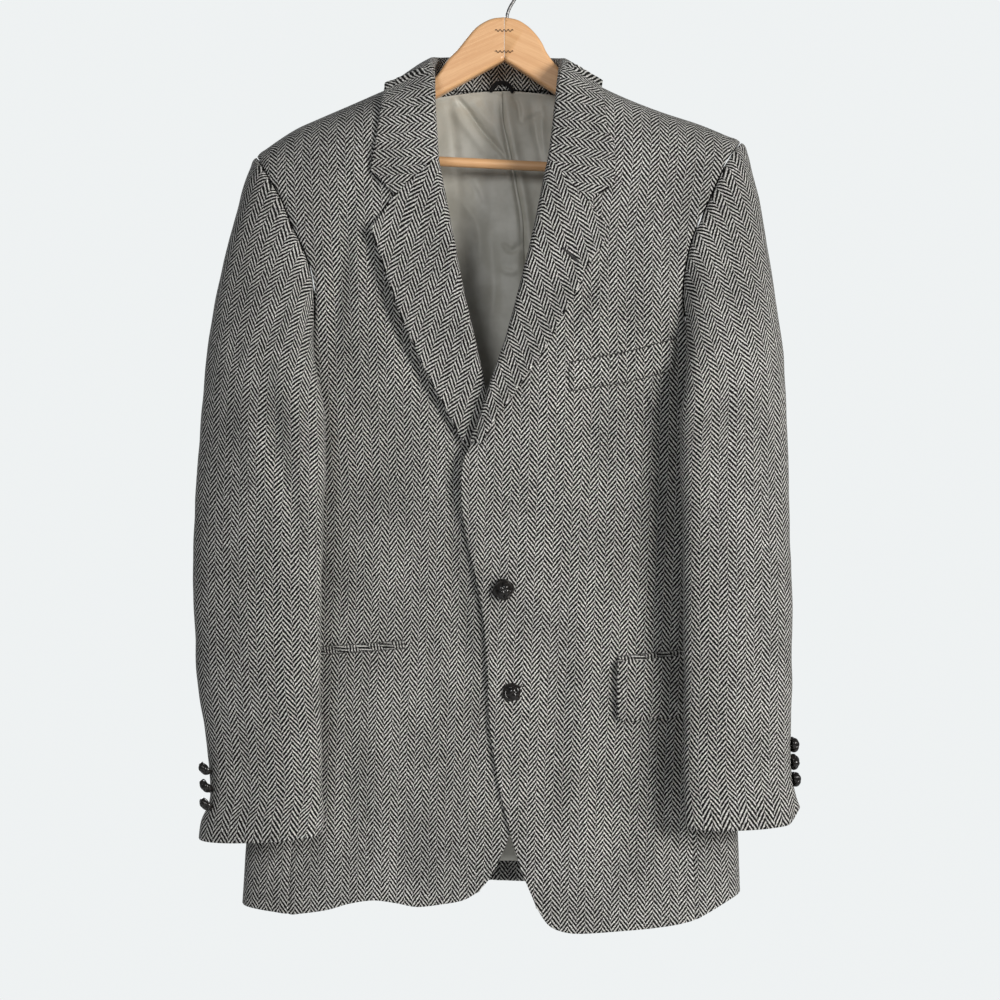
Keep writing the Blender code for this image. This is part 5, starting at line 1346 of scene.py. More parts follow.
def alongCurve(curve, points):
    # how far along a curve, also past its ends, and how far from it each point lies
    way, start = np.diff(curve, axis=0), lengths(curve)
    length = np.diff(start)
    found, nearest = np.zeros(points.shape[:-1]), np.full(points.shape[:-1], 1e9)
    for k, (a, w) in enumerate(zip(curve[:-1], way)):
        t = ((points - a) @ w) / (w @ w)
        t = np.clip(t, None if k == 0 else 0, None if k == len(way) - 1 else 1)
        away = np.linalg.norm(points - a - t[..., None] * w, axis=-1)
        found = np.where(away < nearest, start[k] + t * length[k], found)
        nearest = np.minimum(nearest, away)
    return found, nearest


def gridNormals(grid, like):
    # the grid's normals, softened along its rows, on the side of like
    n = unit(np.cross(np.gradient(grid, axis=0), np.gradient(grid, axis=1)))
    for _ in range(2):
        n[:, 1:-1] = n[:, :-2] + 2 * n[:, 1:-1] + n[:, 2:]
        n = unit(n)
    return n * np.sign(np.dot(n[grid.shape[0] // 2, -3], like))


def collar():
    table = collarForm["table"]
    sections = []
    for i, row in enumerate(table):
        before, after = table[max(i - 1, 0)], table[min(i + 1, len(table) - 1)]
        end = {0: lapelForm["notch"][-1], len(table) - 1: lapelForm["notch"][1]}.get(i)
        sections.append(collarSection(row, before, after, end))
    stations = crowded(collarForm["rows"], 0.45)
    rows = through(np.array(sections), stations)
    away = np.minimum(stations, 1 - stations) * 420
    straight = np.exp(-((away / 10) ** 2))[None, :, None]
    shares = np.linspace(0, 1, collarForm["columns"])
    grid = finer(rows, shares, straight)
    leaf = np.argmin(np.linalg.norm(grid - rows[:, 5:6], axis=-1).mean(axis=0))
    kept = offBody(grid[:, leaf:], collarForm["out"] + 0.2)
    blend = ease(np.arange(kept.shape[1]), 0, 5)[None, :, None]
    grid[:, leaf:] = grid[:, leaf:] * (1 - blend) + kept * blend
    crest = int(np.argmin(np.linalg.norm(grid - rows[:, 3:4], axis=-1).mean(axis=0)))
    middle = int(np.argmin(np.abs(grid[:, crest, 0] - panelForm["neckCentre"])))
    along, across = alongCurve(grid[::4, crest], grid)
    across = np.where(np.arange(grid.shape[1]) < crest, -across, across)
    # the lines fan out from the crest round the neck, and run straight down the fronts
    own = along[:, crest : crest + 1]
    fanned = 1 - ease(np.abs(own - own[middle]), 95, 145)
    along = along * (1 - fanned) + own * fanned
    across = across * (1 - fanned) + acrossLength(grid, crest) * fanned
    weave = together(along - along[middle, crest], across)
    normal = gridNormals(grid, (0, 1, 0))
    edge = edgeDistance(grid, "r")
    lift = uneven(grid, (0.55, 70, 23), (0.15, 26, 24))
    lift = lift * ease(edgeDistance(grid, "t"), 0, 12) * ease(edgeDistance(grid, "b"), 0, 12)
    lift = lift + 0.4 * np.exp(-(((edge - 5) / 4) ** 2))
    outer = drawIn(grid + normal * np.maximum(lift, -0.4)[..., None], "tb")
    inner = drawIn(grid - normal * bodyForm["tweed"], "tb")
    laidOn = ["front_right", "front_left", "back_right", "back_left"]
    clothPiece("top_collar", outer, inner, weave, "tbr", "folded", laidOn, 0.5, ["collar"])


def lapel(side, name):
    rows = np.array(lapelForm["rows"][side], float)
    gorgeX, gorgeZ, innerX, innerZ = lapelForm["notch"][side]
    roll, out = lapelForm["roll"], lapelForm["proud"]
    stations = crowded(132, 0.5)
    cut = through(rows, stations)
    middle = -bodyForm["tweed"] / 2
    grid = []
    for v, (rollX, rollZ, edgeX, edgeZ) in zip(stations, cut):
        line = []
        for inset in (roll + lapelForm["tail"] * (1 - v * 0.7), roll):
            line.append((rollX + side * inset, rollZ, middle - roll))
        for turn in np.radians((-45, 0, 45)):
            inset = roll * (1 - math.cos(turn))
            line.append((rollX + side * inset, rollZ, middle + roll * math.sin(turn)))
        start = np.array([rollX + side * roll, rollZ])
        for t in np.linspace(0, 1, 6):
            at = start + (np.array([edgeX, edgeZ]) - start) * t
            line.append((at[0], at[1], out + 1.2 * (1 - t) ** 2 * (1 - v)))
        grid.append(line)
    grid = np.array(grid)
    path = np.array([grid[0, 5, :2], (gorgeX, gorgeZ), (innerX, innerZ), rows[0, 2:]])
    along = lengths(path)
    spaced = np.concatenate([np.linspace(0, along[2], 4), [(along[2] + along[3]) / 2, along[3]]])
    wanted = np.stack([np.interp(spaced, along, path[:, k]) for k in range(2)], axis=-1)
    change = wanted - grid[0, 5:, :2]
    fade = np.clip(1 - np.linalg.norm(cut[:, :2] - cut[0, :2], axis=1) / 55, 0, 1)
    grid[:, 5:, :2] += fade[:, None, None] * change
    straight = np.zeros((1, len(stations), 3))
    straight[..., :2] = 1
    dense = finer(grid, crowded(56, 0.3), straight)
    x, z = dense[..., 0], dense[..., 1]
    leaf = ease(np.linspace(0, 1, dense.shape[1]), 0.35, 0.6)
    turn, down = place(x, z)
    lift = dense[..., 2] + (lapLift(x, z) if side == 1 else 0)
    creases = np.maximum(bodyCreases(turn, down, "front"), -1.2)
    soft = uneven(lay(turn, down), (0.6, 80, 33), (0.18, 28, 34))
    flat = lay(turn, down, lift)
    edge = edgeDistance(flat, "r")
    top = np.exp(-((edgeDistance(flat, "t") / 26) ** 2))
    puff = 0.35 * np.exp(-(((edge - 5) / 4) ** 2))
    puff = puff + (2.6 + (2.4 if side < 0 else 0.8) * top) * np.exp(-((edge / 9) ** 2))
    outer = lay(turn, down, lift + leaf * (creases + np.maximum(soft, -0.5) + puff + 0.2))
    away = gridNormals(outer, bodyNormal(turn, down)[len(stations) // 2, -3])
    crest = int(np.argmin(dense[..., 0].mean(axis=0) * side))
    reach = acrossLength(outer, crest)
    start = together(x[:, crest], z[:, crest])
    way = unit(together(x[:, -1], z[:, -1]) - start)
    plane = start[:, None] + way[:, None] * reach[..., None]
    weave = turnedCut(plane * (1, -1), side * math.radians(lapelForm["cutTurn"]))
    outer = drawIn(outer, "t")
    inner = drawIn(outer - away * bodyForm["tweed"], "t")
    laidOn = ["front_right" if side < 0 else "front_left"]
    clothPiece(name, outer, inner, weave, "tbr", "folded", laidOn, 0.5)


pocketForm = dict(
    welt=[  # x, top, bottom
        (62, -399.5, -425), (84, -395.5, -421.5), (107, -391.2, -418), (126, -387, -414.2),
        (145, -381.5, -409), (163, -376.5, -404.5),
    ],
    flap=[
        (108.5, -684.5, -735), (114, -684, -738.5), (142, -681.2, -736.5), (171, -678.2, -735),
        (190, -676.4, -733.5), (207, -674.8, -732),
    ],
    mouth={-1: ((-95, -666.5), (-222, -677)), 1: ((108.5, -682), (207, -672.3))},
    jetHeight=3.0,
    jet=1.3,
    bias=math.radians(51),  # turn of the jets' cut, so that one slant runs along them
)


def laidBand(name, x, top, bottom, thickness, rise, rows, bulge=0.0, sewn="", bias=0.0):
    # a strip that lies on the front; its face swells by bulge between its edges
    t = crowded(rows, 0.6)[:, None]
    z = top * (1 - t) + bottom * t
    x = np.broadcast_to(x, z.shape)
    turn, down = place(x, z)
    under = bodyCreases(turn, down, "front") + (lapLift(x, z) if x[0, 0] > 0 else 0)
    base = bodyForm["seamGap"] + rise + np.maximum(under, -6)
    swell = bulge * np.sin(math.pi * t) ** 0.6
    inner = lay(turn, down, base)
    for edge in sewn:
        flatter = 1 - 0.7 * np.exp(-((edgeDistance(inner, edge) / 2.2) ** 2))
        swell, thickness = swell * flatter, thickness * flatter
    lift = base + thickness + swell + 0.25 * wobble(lay(turn, down), 40, 43)
    weave = turnedCut(bodyWeave(turn, down), bias)
    laidOn = ["front_right" if x[0, 0] < 0 else "front_left"]
    outer = lay(turn, down, lift)
    piece = clothPiece(name, outer, inner, weave, "ltrb", "laid", laidOn, 0.5)
    cutTurns[piece.name] = bias


def tableLines(rows, count):
    x = np.linspace(rows[0][0], rows[-1][0], count)
    return x, tabled(rows, x), tabled(rows, x, 2)


def pockets():
    laidBand("breast_welt", *tableLines(pocketForm["welt"], 150), 2.2, 0.5, 40, 0.5, "blr")
    high, jet = pocketForm["jetHeight"], pocketForm["jet"]
    for side, word in sides:
        x, mouth = np.linspace(*pocketForm["mouth"][side], 140).T
        for part, top, low in (("upper", high, 0.2), ("lower", -0.2, -high)):
            edges = mouth + top, mouth + low
            name = f"hip_jet_{part}_{word}"
            laidBand(name, x, *edges, jet * 0.7, 0.6, 11, 1.3, "", pocketForm["bias"])
    laidBand("hip_flap_left", *tableLines(pocketForm["flap"], 130), 2.6, jet + 2.0, 60, 0.7)


lapel(-1, "lapel_right")
lapel(1, "lapel_left")
collar()
pockets()
print("stage: collar, lapels and pockets done")


# knotted buttons: a strap plaited over a dome

buttonForm = dict(
    frontPlaces=(("upper", -0.5, -613.7), ("lower", 6.9, -714.2)),
    front=19.5,
    cuff=14.5,
    leads=3,
    bights=4,
    polar=(57, 45),  # degrees from the crown: the straps' middle, and how far they swing
    reach=(0.86, 0.085),  # their mean radius and its swing, as they pass over and under
    tall=1.9,
    steps=260,
    strapSides=10,
    strapWidth=0.145,  # half of it and half its thickness, as shares of the diameter
    strapThick=0.068,
    core=[  # out and up
        (0.1, -0.12), (0.5, -0.1), (0.78, 0.05), (0.86, 0.3), (0.8, 0.62), (0.62, 0.88),
        (0.34, 1.02), (0.1, 1.07),
    ],
    dome=0.52,
    cuffDome=0.36,
    levels={-1: (-781.5, -798, -815), 1: (-761.5, -778, -794.5)},
    share={-1: 0.07, 1: 0.02},  # where they sit round the sleeve, how far out, and their facing
    out={-1: 4.8, 1: 1.0},
    facing={-1: (-0.68, -0.12, -0.72), 1: (1.0, 0.25, 0.1)},
)


def knotButton(name, centre, facing, diameter, turn, dome):
    bights, steps = buttonForm["bights"], buttonForm["steps"]
    radius = diameter / 2
    facing = np.asarray(facing, float) / np.linalg.norm(facing)
    side = unit(np.cross(facing, (0.0, 0.0, 1.0)))
    top = np.cross(side, facing)
    t = np.linspace(0, 2 * math.pi, steps, endpoint=False)
    (middle, swing), (mean, passing) = buttonForm["polar"], buttonForm["reach"]

    def line(t):
        # places on the dome: its polar angle swings between the crown and under its rim
        polar = np.radians(middle + swing * np.cos(bights * t))
        angle = buttonForm["leads"] * t + turn
        away = radius * (mean + passing * np.sin(2 * bights * t))
        flat = np.cos(angle)[:, None] * side + np.sin(angle)[:, None] * top
        up = np.cos(polar)[:, None] * buttonForm["tall"] * dome * facing
        return away[:, None] * (np.sin(polar)[:, None] * flat + up)

    path = line(t)
    way = unit(line(t + 0.01) - line(t - 0.01))
    across = unit(np.cross(way, unit(path)))
    out = np.cross(across, way)
    count = buttonForm["strapSides"]
    angles = np.linspace(0, 2 * math.pi, count, endpoint=False)
    wave = np.sign(np.cos(angles)) * np.abs(np.cos(angles)) ** 0.8
    ring = diameter * buttonForm["strapWidth"] * wave[None, :, None] * across[:, None]
    ring = ring + diameter * buttonForm["strapThick"] * np.sin(angles)[None, :, None] * out[:, None]
    base = radius * 0.6 * dome * facing
    points = list((path[:, None] + ring + base).reshape(-1, 3))
    faces = ringFaces(steps, count, 0, True)
    weave = [(k * 0.35, j * 1.1) for k in range(steps) for j in range(count)]
    # the dark core under the straps, down to the shank
    levels, around, first = buttonForm["core"], 28, len(points)
    for wide, up in levels:
        for k in range(around):
            angle = 2 * math.pi * k / around
            flat = math.cos(angle) * side + math.sin(angle) * top
            points.append(radius * (wide * flat + up * 2 * dome * facing))
            weave.append((k * 2.0, up * 8))
    faces += ringFaces(len(levels), around, first)
    faces += [tuple(first + r * around + k for k in range(around)) for r in (0, len(levels) - 1)]
    piece = plainMesh(name, np.array(points) + np.asarray(centre), faces, weave)
    outwards(piece)
    finished(piece, "leather", "knotted_leather", name)


def buttons():
    for word, x, z in buttonForm["frontPlaces"]:
        turn, down = place(x, z)
        lift = float(lapLift(x, z) + bodyCreases(turn, down, "front")) + 0.6
        facing = bodyNormal(turn, down)
        if word == "lower":  # half through its hole
            lift, facing = lift - 6.2, facing + np.array([0.25, 0, 1.05])
        centre = lay(turn, down, lift)
        knotButton("front_button_" + word, centre, facing, buttonForm["front"],
                   0.75 if word == "upper" else 2.0, buttonForm["dome"])
    for side, word in sides:
        around = buttonForm["share"][side] + np.array([-0.005, 0, 0.005])
        lines = sleeveSurface(side, around)[sleeveForm["headRows"] :]
        for k, level in enumerate(buttonForm["levels"][side]):
            near, centre, far = (
                np.array([smooth(line[:, 2], line[:, i], level) for i in range(3)])
                for line in lines.swapaxes(0, 1)
            )
            out = np.cross(far - near, (0.0, 0.0, 1.0))
            out *= np.sign(out[0]) * side / np.linalg.norm(out)
            centre = centre + out * (buttonForm["out"][side] + 0.3)
            name = f"cuff_button_{word}_{k + 1}"
            knotButton(name, centre, buttonForm["facing"][side], buttonForm["cuff"], 0.9 * k,
                       buttonForm["cuffDome"])


buttons()
print("stage: buttons done")


# lining, turned-up hem and hanging loop

liningForm = dict(
    thick=1.0,
    facing=1.6,
    pleat=[(-124, -2), (-150, -1), (-180, 5), (-215, 12), (-260, 19), (-420, 22)],  # z, x
    levels=(-124, -884),
    step=3.6,  # how far the cloth steps back at the pleat
    hemFrom=-186,  # the turned-up hem's ends and width
    hemTo=160,
    hemWidth=34,
    loopRadius=2.1,
    loop=[
        (-12.5, 31.5, -125.5), (-10, 30.8, -121), (-5, 30.6, -118.2),
        (1, 30.6, -118.4), (5.5, 30.8, -121.2), (8, 31.5, -126),
    ],
)
liningCreases = [
    ([(-52, -124), (-46, -131), (-33, -148), (-22, -164), (-4, -184), (6, -200)], 2.4, -4.2),
    ([(-52, -140), (-40, -156), (-28, -172), (-12, -192)], 5.5, 2.6),
    ([(-34, -130), (-22, -146), (-10, -166)], 5, 2.0),
    ([(-60, -122), (-52, -150), (-46, -200), (-40, -260)], 5, -1.6),
    ([(-3, -125), (-2, -150), (4, -182), (11, -217), (18, -262), (21, -340)], 2.2, -4.6),
    ([(4, -125), (5, -150), (11, -182), (18, -217), (25, -262), (28, -340)], 4.5, 3.4),
    ([(-11, -127), (-10, -152), (-4, -184), (3, -219)], 5, 1.2),
    ([(8, -128), (14, -140), (16, -158)], 2.4, -1.6),
    ([(16, -158), (28, -152), (40, -148)], 2.6, -1.4),
    ([(26, -128), (30, -160), (40, -200), (46, -250)], 4, -1.8),
    ([(38, -128), (38, -170), (42, -230)], 3.4, 1.2),
    ([(-44, -210), (-30, -222), (-18, -250)], 4, -1.4),
    ([(-28, -205), (-22, -240), (-22, -290)], 6, 1.4),
    ([(-52, -226), (-30, -250), (-22, -284)], 4, 1.1),
    ([(-2, -276), (8, -284), (18, -277), (26, -284)], 2.6, -2.2),
    ([(-4, -300), (8, -305), (18, -298)], 2.8, 1.4),
    ([(-16, -260), (-10, -320), (-14, -380)], 6, -1.6),
    ([(-60, -300), (-70, -500), (-90, -760)], 16, 2.0),
    ([(70, -340), (84, -520), (96, -780)], 16, 2.0),
    ([(-30, -500), (-26, -660), (-40, -850)], 14, -2.0),
    ([(30, -480), (36, -660), (44, -850)], 14, -1.8),
    ([(-100, -858), (-40, -852), (40, -856), (100, -860)], 6, 1.6),
]


def insideBack():
    heights = np.concatenate([np.linspace(0, 0.4, 170), np.linspace(0.4, 1, 80)[1:]])[:, None]
    side = np.linspace(0, 1, 84)
    columns = np.concatenate([-side[::-1], [0.0008, 0.006, 0.012], 0.012 + 0.988 * side[1:]])[None]
    top, foot = liningForm["levels"]
    z = top + (foot - top) * heights
    pleat = tabled(liningForm["pleat"], z)
    half = 70 + 80 * ease(heights, 0, 0.28) + 40 * ease(heights, 0.3, 1)
    x = pleat * (1 - np.abs(columns)) + half * columns
    level = z - 6 * np.abs(columns) ** 2 * (1 - heights)
    step = liningForm["step"] * np.where(columns <= 0, 1 - ease(-columns, 0, 0.3), 0)
    step = step * (1 - ease(columns, 0, 0.006)) + 0 * level
    out = -2 * (bodyForm["tweed"] + bodyForm["seamGap"]) - 0.6 - step
    out = out - 1.4 * np.sin(math.pi * np.minimum(heights * 3, 1))
    flat = together(x, 0 * x, level)
    lift = creased(x, level, liningCreases) + uneven(flat, (0.5, 60, 53), (0.22, 22, 54))
    edge = np.minimum(1 - np.abs(columns), np.minimum(heights, 1 - heights) * 6)
    lift = np.maximum(lift, -1.2 - 3.4 * ease(-level, 124, 136)) * ease(edge, 0, 0.05)
    outer = onBody(x, level, out - liningForm["thick"] - lift, "back")
    inner = onBody(x, level, out - lift, "back")
    weave = together(x + 0 * level, -level)
    laidOn = ["back_right", "back_left"]
    look = ("satin", "lining_satin")
    clothPiece("back_lining", outer, inner, weave, "ltrb", "hung", laidOn, 0.3, look=look)


def turnedUpHem():
    x = np.linspace(liningForm["hemFrom"], liningForm["hemTo"], 160)
    keys = (panelForm["backSeamHem"][-1], panelForm["centreHem"], panelForm["backSeamHem"][1])
    bottom = np.interp(x, (-190, panelForm["neckCentre"], 170), keys) + 1
    levels = bottom + liningForm["hemWidth"] * (1 - crowded(24, 0.4))[:, None]
    x = np.broadcast_to(x, levels.shape)
    turn, down = place(x, levels, "back")
    inside = -bodyForm["tweed"] - bodyForm["seamGap"]
    out = inside + np.minimum(bodyCreases(turn, down, "back"), 0)
    hem, back = lay(turn, down, out - liningForm["facing"]), lay(turn, down, out)
    weave = bodyWeave(turn, down, 2.0 * np.sign(turn))
    laidOn = ["back_right", "back_left"]
    clothPiece("back_hem_facing", hem, back, weave, "ltrb", "folded", laidOn, 0.4)


def tube(name, line, radius, count, rounded=False):
    # a round wire or cord along a line, with flat or rounded ends
    line = np.asarray(line, float)
    way = unit(np.gradient(line, axis=0))
    radii = np.full(len(line), float(radius))
    if rounded:
        turns = np.radians([25, 50, 72, 86])
        past = radius * np.sin(turns)[:, None]
        line = np.concatenate([line[0] - way[0] * past[::-1], line, line[-1] + way[-1] * past])
        radii = np.concatenate([radius * np.cos(turns[::-1]), radii, radius * np.cos(turns)])
        way = np.concatenate([[way[0]] * 4, way, [way[-1]] * 4])
    points, weave = [], []
    across = np.array((0.0, 1.0, 0.0))
    for centre, direction, r, along in zip(line, way, radii, lengths(line)):
        across = unit(across - direction * np.dot(across, direction))
        other = np.cross(direction, across)
        for k in range(count):
            angle = 2 * math.pi * k / count
            points.append(centre + r * (math.cos(angle) * across + math.sin(angle) * other))
            weave.append((along, angle * r))
    faces = [tuple(range(count))[::-1], tuple(range((len(line) - 1) * count, len(line) * count))]
    return plainMesh(name, points, faces + ringFaces(len(line), count), weave, 50)


insideBack()
turnedUpHem()
loopLine = through(liningForm["loop"], np.linspace(0, 1, 120))
loop = tube("hanger_loop", loopLine, liningForm["loopRadius"], 20, True)
finished(loop, "cord", "loop_cord", "hanger_loop")
print("stage: lining done")


# the hanger

hangerForm = dict(
    depth=16.0,
    edge=3.5,
    joint=0.4,
    gap=0.3,
    bar=((-183.6, 0, -194), (177.6, 0, -212)),
    barRadius=4.8,
    wire=1.6,
    hookInside=18.0,
    shank=[(3.0, 0, -60.4), (3.6, 0, -56), (6.0, 0, -50), (10.2, 0, -43), (14.6, 0, -35.5)],
    grainTurn=24,
    fastenerLevels=(("upper", -74.5), ("lower", -95.0)),
    arms={  # the outline's top, then its lower edge: x, z
        1: ([
            (0.4, -60.9), (13, -63.5), (23, -69.5), (31, -77.4), (37, -86), (41.7, -95.5),
            (50, -106.5), (62, -117), (91, -133.5), (121, -147.5), (155, -160.5), (188, -171.5),
            (205, -178.5), (214, -189),
        ], [
            (213, -207), (204, -216), (190, -221), (181, -217), (178, -207), (178, -192.5),
            (155, -184), (121, -171), (91, -158), (70, -146), (49, -134), (23, -117),
            (0.4, -102.5),
        ]),
        -1: ([
            (0.4, -60.9), (-11.6, -62.4), (-22.7, -67.8), (-30.4, -74.4), (-38.3, -84.2),
            (-46, -93.6), (-55, -102.8), (-66, -118), (-84, -129.5), (-113, -138),
            (-148, -152.5), (-182, -167), (-199, -174), (-212, -183), (-219, -194),
        ], [
            (-217, -203), (-207, -208.5), (-192, -207), (-184, -202), (-184, -187),
            (-148, -174.5), (-113, -161.5), (-84, -149), (-66, -139), (-28, -118), (0.4, -102.5),
        ]),
    },
)


def arm(side, name):
    top, low = (np.array(rows, float) for rows in hangerForm["arms"][side])
    shares = np.linspace(0, 1, 130)
    outline = np.concatenate([through(top, shares), through(low, shares)])
    at = np.abs(outline[:, 0] - hangerForm["joint"]) < 0.5
    outline[at, 0] += side * hangerForm["gap"] / 2
    step = unit(np.roll(outline, -1, axis=0) - np.roll(outline, 1, axis=0))
    following = np.roll(outline, -1, axis=0)
    area = np.sum(outline[:, 0] * following[:, 1] - following[:, 0] * outline[:, 1])
    inward = np.stack([-step[:, 1], step[:, 0]], axis=1) * np.sign(area)
    for _ in range(2):
        inward = unit(np.roll(inward, 1, axis=0) + 2 * inward + np.roll(inward, -1, axis=0))
    inward[at] = np.stack([0 * inward[at, 0], np.sign(inward[at, 1])], axis=1)
    half, edge = hangerForm["depth"] / 2, hangerForm["edge"]
    turns = np.radians(np.linspace(0, 90, 7))
    loops = [(edge + 0.8, -half)]
    loops += [(edge * (1 - math.sin(a)), -half + edge * (1 - math.cos(a))) for a in turns]
    loops += [(inset, -y) for inset, y in loops[::-1]]
    points = np.concatenate([
        np.stack([p[:, 0], np.full(len(p), y), p[:, 1]], axis=1)
        for p, y in ((outline + inward * inset, y) for inset, y in loops)
    ])
    n = len(outline)
    faces = [tuple(range(n)), tuple(range((len(loops) - 1) * n, len(loops) * n))[::-1]]
    weave = turnedCut(points[:, [0, 2]], math.radians(hangerForm["grainTurn"]) * side)
    weave[:, 1] += points[:, 1] * 0.4
    piece = plainMesh(name, points, faces + ringFaces(len(loops), n), weave)
    outwards(piece, True)
    finished(piece, "wood", "hanger_wood", name)


arm(1, "hanger_arm_left")
arm(-1, "hanger_arm_right")
barLine = np.linspace(*hangerForm["bar"], 40)
bar = tube("hanger_bar", barLine, hangerForm["barRadius"], 40)
finished(bar, "wood", "hanger_wood", "hanger_bar")
radius = hangerForm["hookInside"] + hangerForm["wire"]
hookLine = hangerForm["shank"] + [
    (radius * math.cos(a), 0, radius * math.sin(a) - hangerForm["hookInside"])
    for a in np.radians(np.arange(-25, 206, 16.5))
]
hookLine = through(hookLine, np.linspace(0, 1, 150))
hook = tube("hanger_hook", hookLine, hangerForm["wire"], 24, True)
finished(hook, "steel", "hook_steel", "hanger_hook")
for word, level in hangerForm["fastenerLevels"]:
    # a strip of corrugated steel driven in across the joint
    x = np.linspace(-8.6, 8.6, 100)
    z = level + 0.9 * np.cos(x * 2 * math.pi / 3.9)
    x = x + hangerForm["joint"]
    y = np.full(100, -hangerForm["depth"] / 2 - hangerForm["gap"])
    outer = np.stack([together(x, y - 0.4, z + up) for up in (0.4, 0.15, -0.15, -0.4)])
    name = "hanger_fastener_" + word
    strip = clothWall(name, outer, outer + np.array([0, 0.4, 0]), outer[..., [0, 2]], "", 0.0)
    finished(strip, "rust", "fastener_steel", name)
print("stage: hanger done")


# stitches: rows of thread along lines on the cloth; some dark rows are painted shadow in the pocket
# mouths

stitchForm = dict(
    rows={  # lines of x and z, the thread, the spacing, length and thickness of its stitches
        "lapelHole": (
            [[(56.6, -290.2), (70.2, -302.4)], [(56.0, -291.2), (69.8, -303.4)]],
            "darkThread", 1.0, 1.7, 1.3,
        ),
        "lapelHoleEnd": ([[(69.0, -301.4), (71.4, -304.4)]], "darkThread", 0.8, 1.6, 1.7),
        "frontHole": ([[(7.6, -704.4), (18.6, -706.2)]], "darkThread", 1.0, 1.7, 1.3),
        "upperHole": ([[(6.0, -612.4), (12.6, -613.0)]], "darkThread", 1.0, 1.7, 1.2),
        # painted shadow: a thick row of dark thread along the welt's top edge, standing in for the
        # shade in the pocket's mouth
        "weltTop": (
            [[
                (62.5, -398.6), (84, -394.6), (107, -390.3), (126, -386.1), (145, -380.6),
                (162.5, -375.7),
            ]],
            "darkThread", 1.0, 1.9, 2.1,
        ),
        "weltFoot": (
            [[
                (63, -425.4), (84, -422), (107, -418.5), (126, -414.7), (145, -409.5),
                (162.5, -405),
            ]],
            "darkThread", 1.5, 1.9, 1.6,
        ),
        "weltBasting": (
            [[(64, -410), (66, -413)], [(158, -389), (160, -392)]], "paleThread", 2.0, 2.4, 0.35,
        ),
        # painted shadow: in both jet rows, the line along the pocket's mouth is dark thread
        # standing in for the shade between the jets; the other lines run along the jets' outer
        # edges
        "jetsRight": (
            [
                [(-95, -662.6), (-222, -673.1)], [(-95, -666.5), (-222, -677)],
                [(-95, -670.6), (-222, -681.1)],
            ],
            "darkThread", 1.4, 1.6, 0.8,
        ),
        "jetsLeft": (
            [[(108.5, -678.1), (200, -669.1)], [(108.5, -682), (200, -673.1)]],
            "darkThread", 1.4, 1.6, 0.8,
        ),
        "jetTacks": (
            [[(-94.6, -662), (-94.6, -671)], [(108.2, -677.6), (108.2, -686)]],
            "darkThread", 1.1, 1.5, 0.8,
        ),
        "flapPick": ([[(112.5, -690), (112.8, -727)]], "darkThread", 2.4, 1.1, 0.35),
    },
    lift=0.12,
    uneven=(0.75, 1.15),  # the smallest and largest stitches, as shares of the length
    bead={"Segments": 6, "Rings": 4, "Radius": 0.5},
    guideStep=1.5,
)


def stitchTree():
    tree = bpy.data.node_groups.new("stitchRow", "GeometryNodeTree")
    sockets = {}
    for name, kind in (
        ("Line", "Geometry"), ("Spacing", "Float"), ("Length", "Float"), ("Thickness", "Float"),
        ("Seed", "Int"), ("Thread", "Material"),
    ):
        kind = "NodeSocket" + kind
        sockets[name] = tree.interface.new_socket(name, in_out="INPUT", socket_type=kind).identifier
    tree.interface.new_socket("Stitches", in_out="OUTPUT", socket_type="NodeSocketGeometry")
    given, end = tree.nodes.new("NodeGroupInput").outputs, tree.nodes.new("NodeGroupOutput")
    line = put(tree, "GeometryNodeMeshToCurve", {"Mesh": given["Line"]}).outputs[0]
    spacing = {"Curve": line, "Length": given["Spacing"]}
    spaced = put(tree, "GeometryNodeResampleCurve", spacing, mode="LENGTH")
    along = put(tree, "GeometryNodeInputTangent").outputs[0]
    turned = put(tree, "FunctionNodeAlignRotationToVector", {"Vector": along}, axis="X")
    # sockets 2 and 3 are the range of single numbers
    small, large = stitchForm["uneven"]
    spread = {2: small, 3: large, "Seed": given["Seed"]}
    random = put(tree, "FunctionNodeRandomValue", spread, data_type="FLOAT").outputs[1]
    bead = put(tree, "GeometryNodeMeshUVSphere", stitchForm["bead"]).outputs[0]
    size = {0: given["Length"], 1: given["Thickness"], 2: given["Thickness"]}
    size = scaled(tree, put(tree, "ShaderNodeCombineXYZ", size).outputs[0], random)
    placed = put(tree, "GeometryNodeInstanceOnPoints", {
        "Points": spaced.outputs[0], "Instance": bead, "Rotation": turned.outputs[0], "Scale": size,
    })
    real = put(tree, "GeometryNodeRealizeInstances", {"Geometry": placed.outputs[0]}).outputs[0]
    done = put(tree, "GeometryNodeSetMaterial", {"Geometry": real, "Material": given["Thread"]})
    tree.links.new(done.outputs[0], end.inputs[0])
    return tree, sockets


def shownCloth():
    # the body's cloth, found from in front of it
    points, faces = [], []
    for piece, *_ in sheets:
        if piece.name.startswith("sleeve"):
            continue
        start = len(points)
        points += [v.co.copy() for v in piece.data.vertices]
        faces += [[start + i for i in polygon.vertices] for polygon in piece.data.polygons]
    return mathutils.bvhtree.BVHTree.FromPolygons(points, faces)


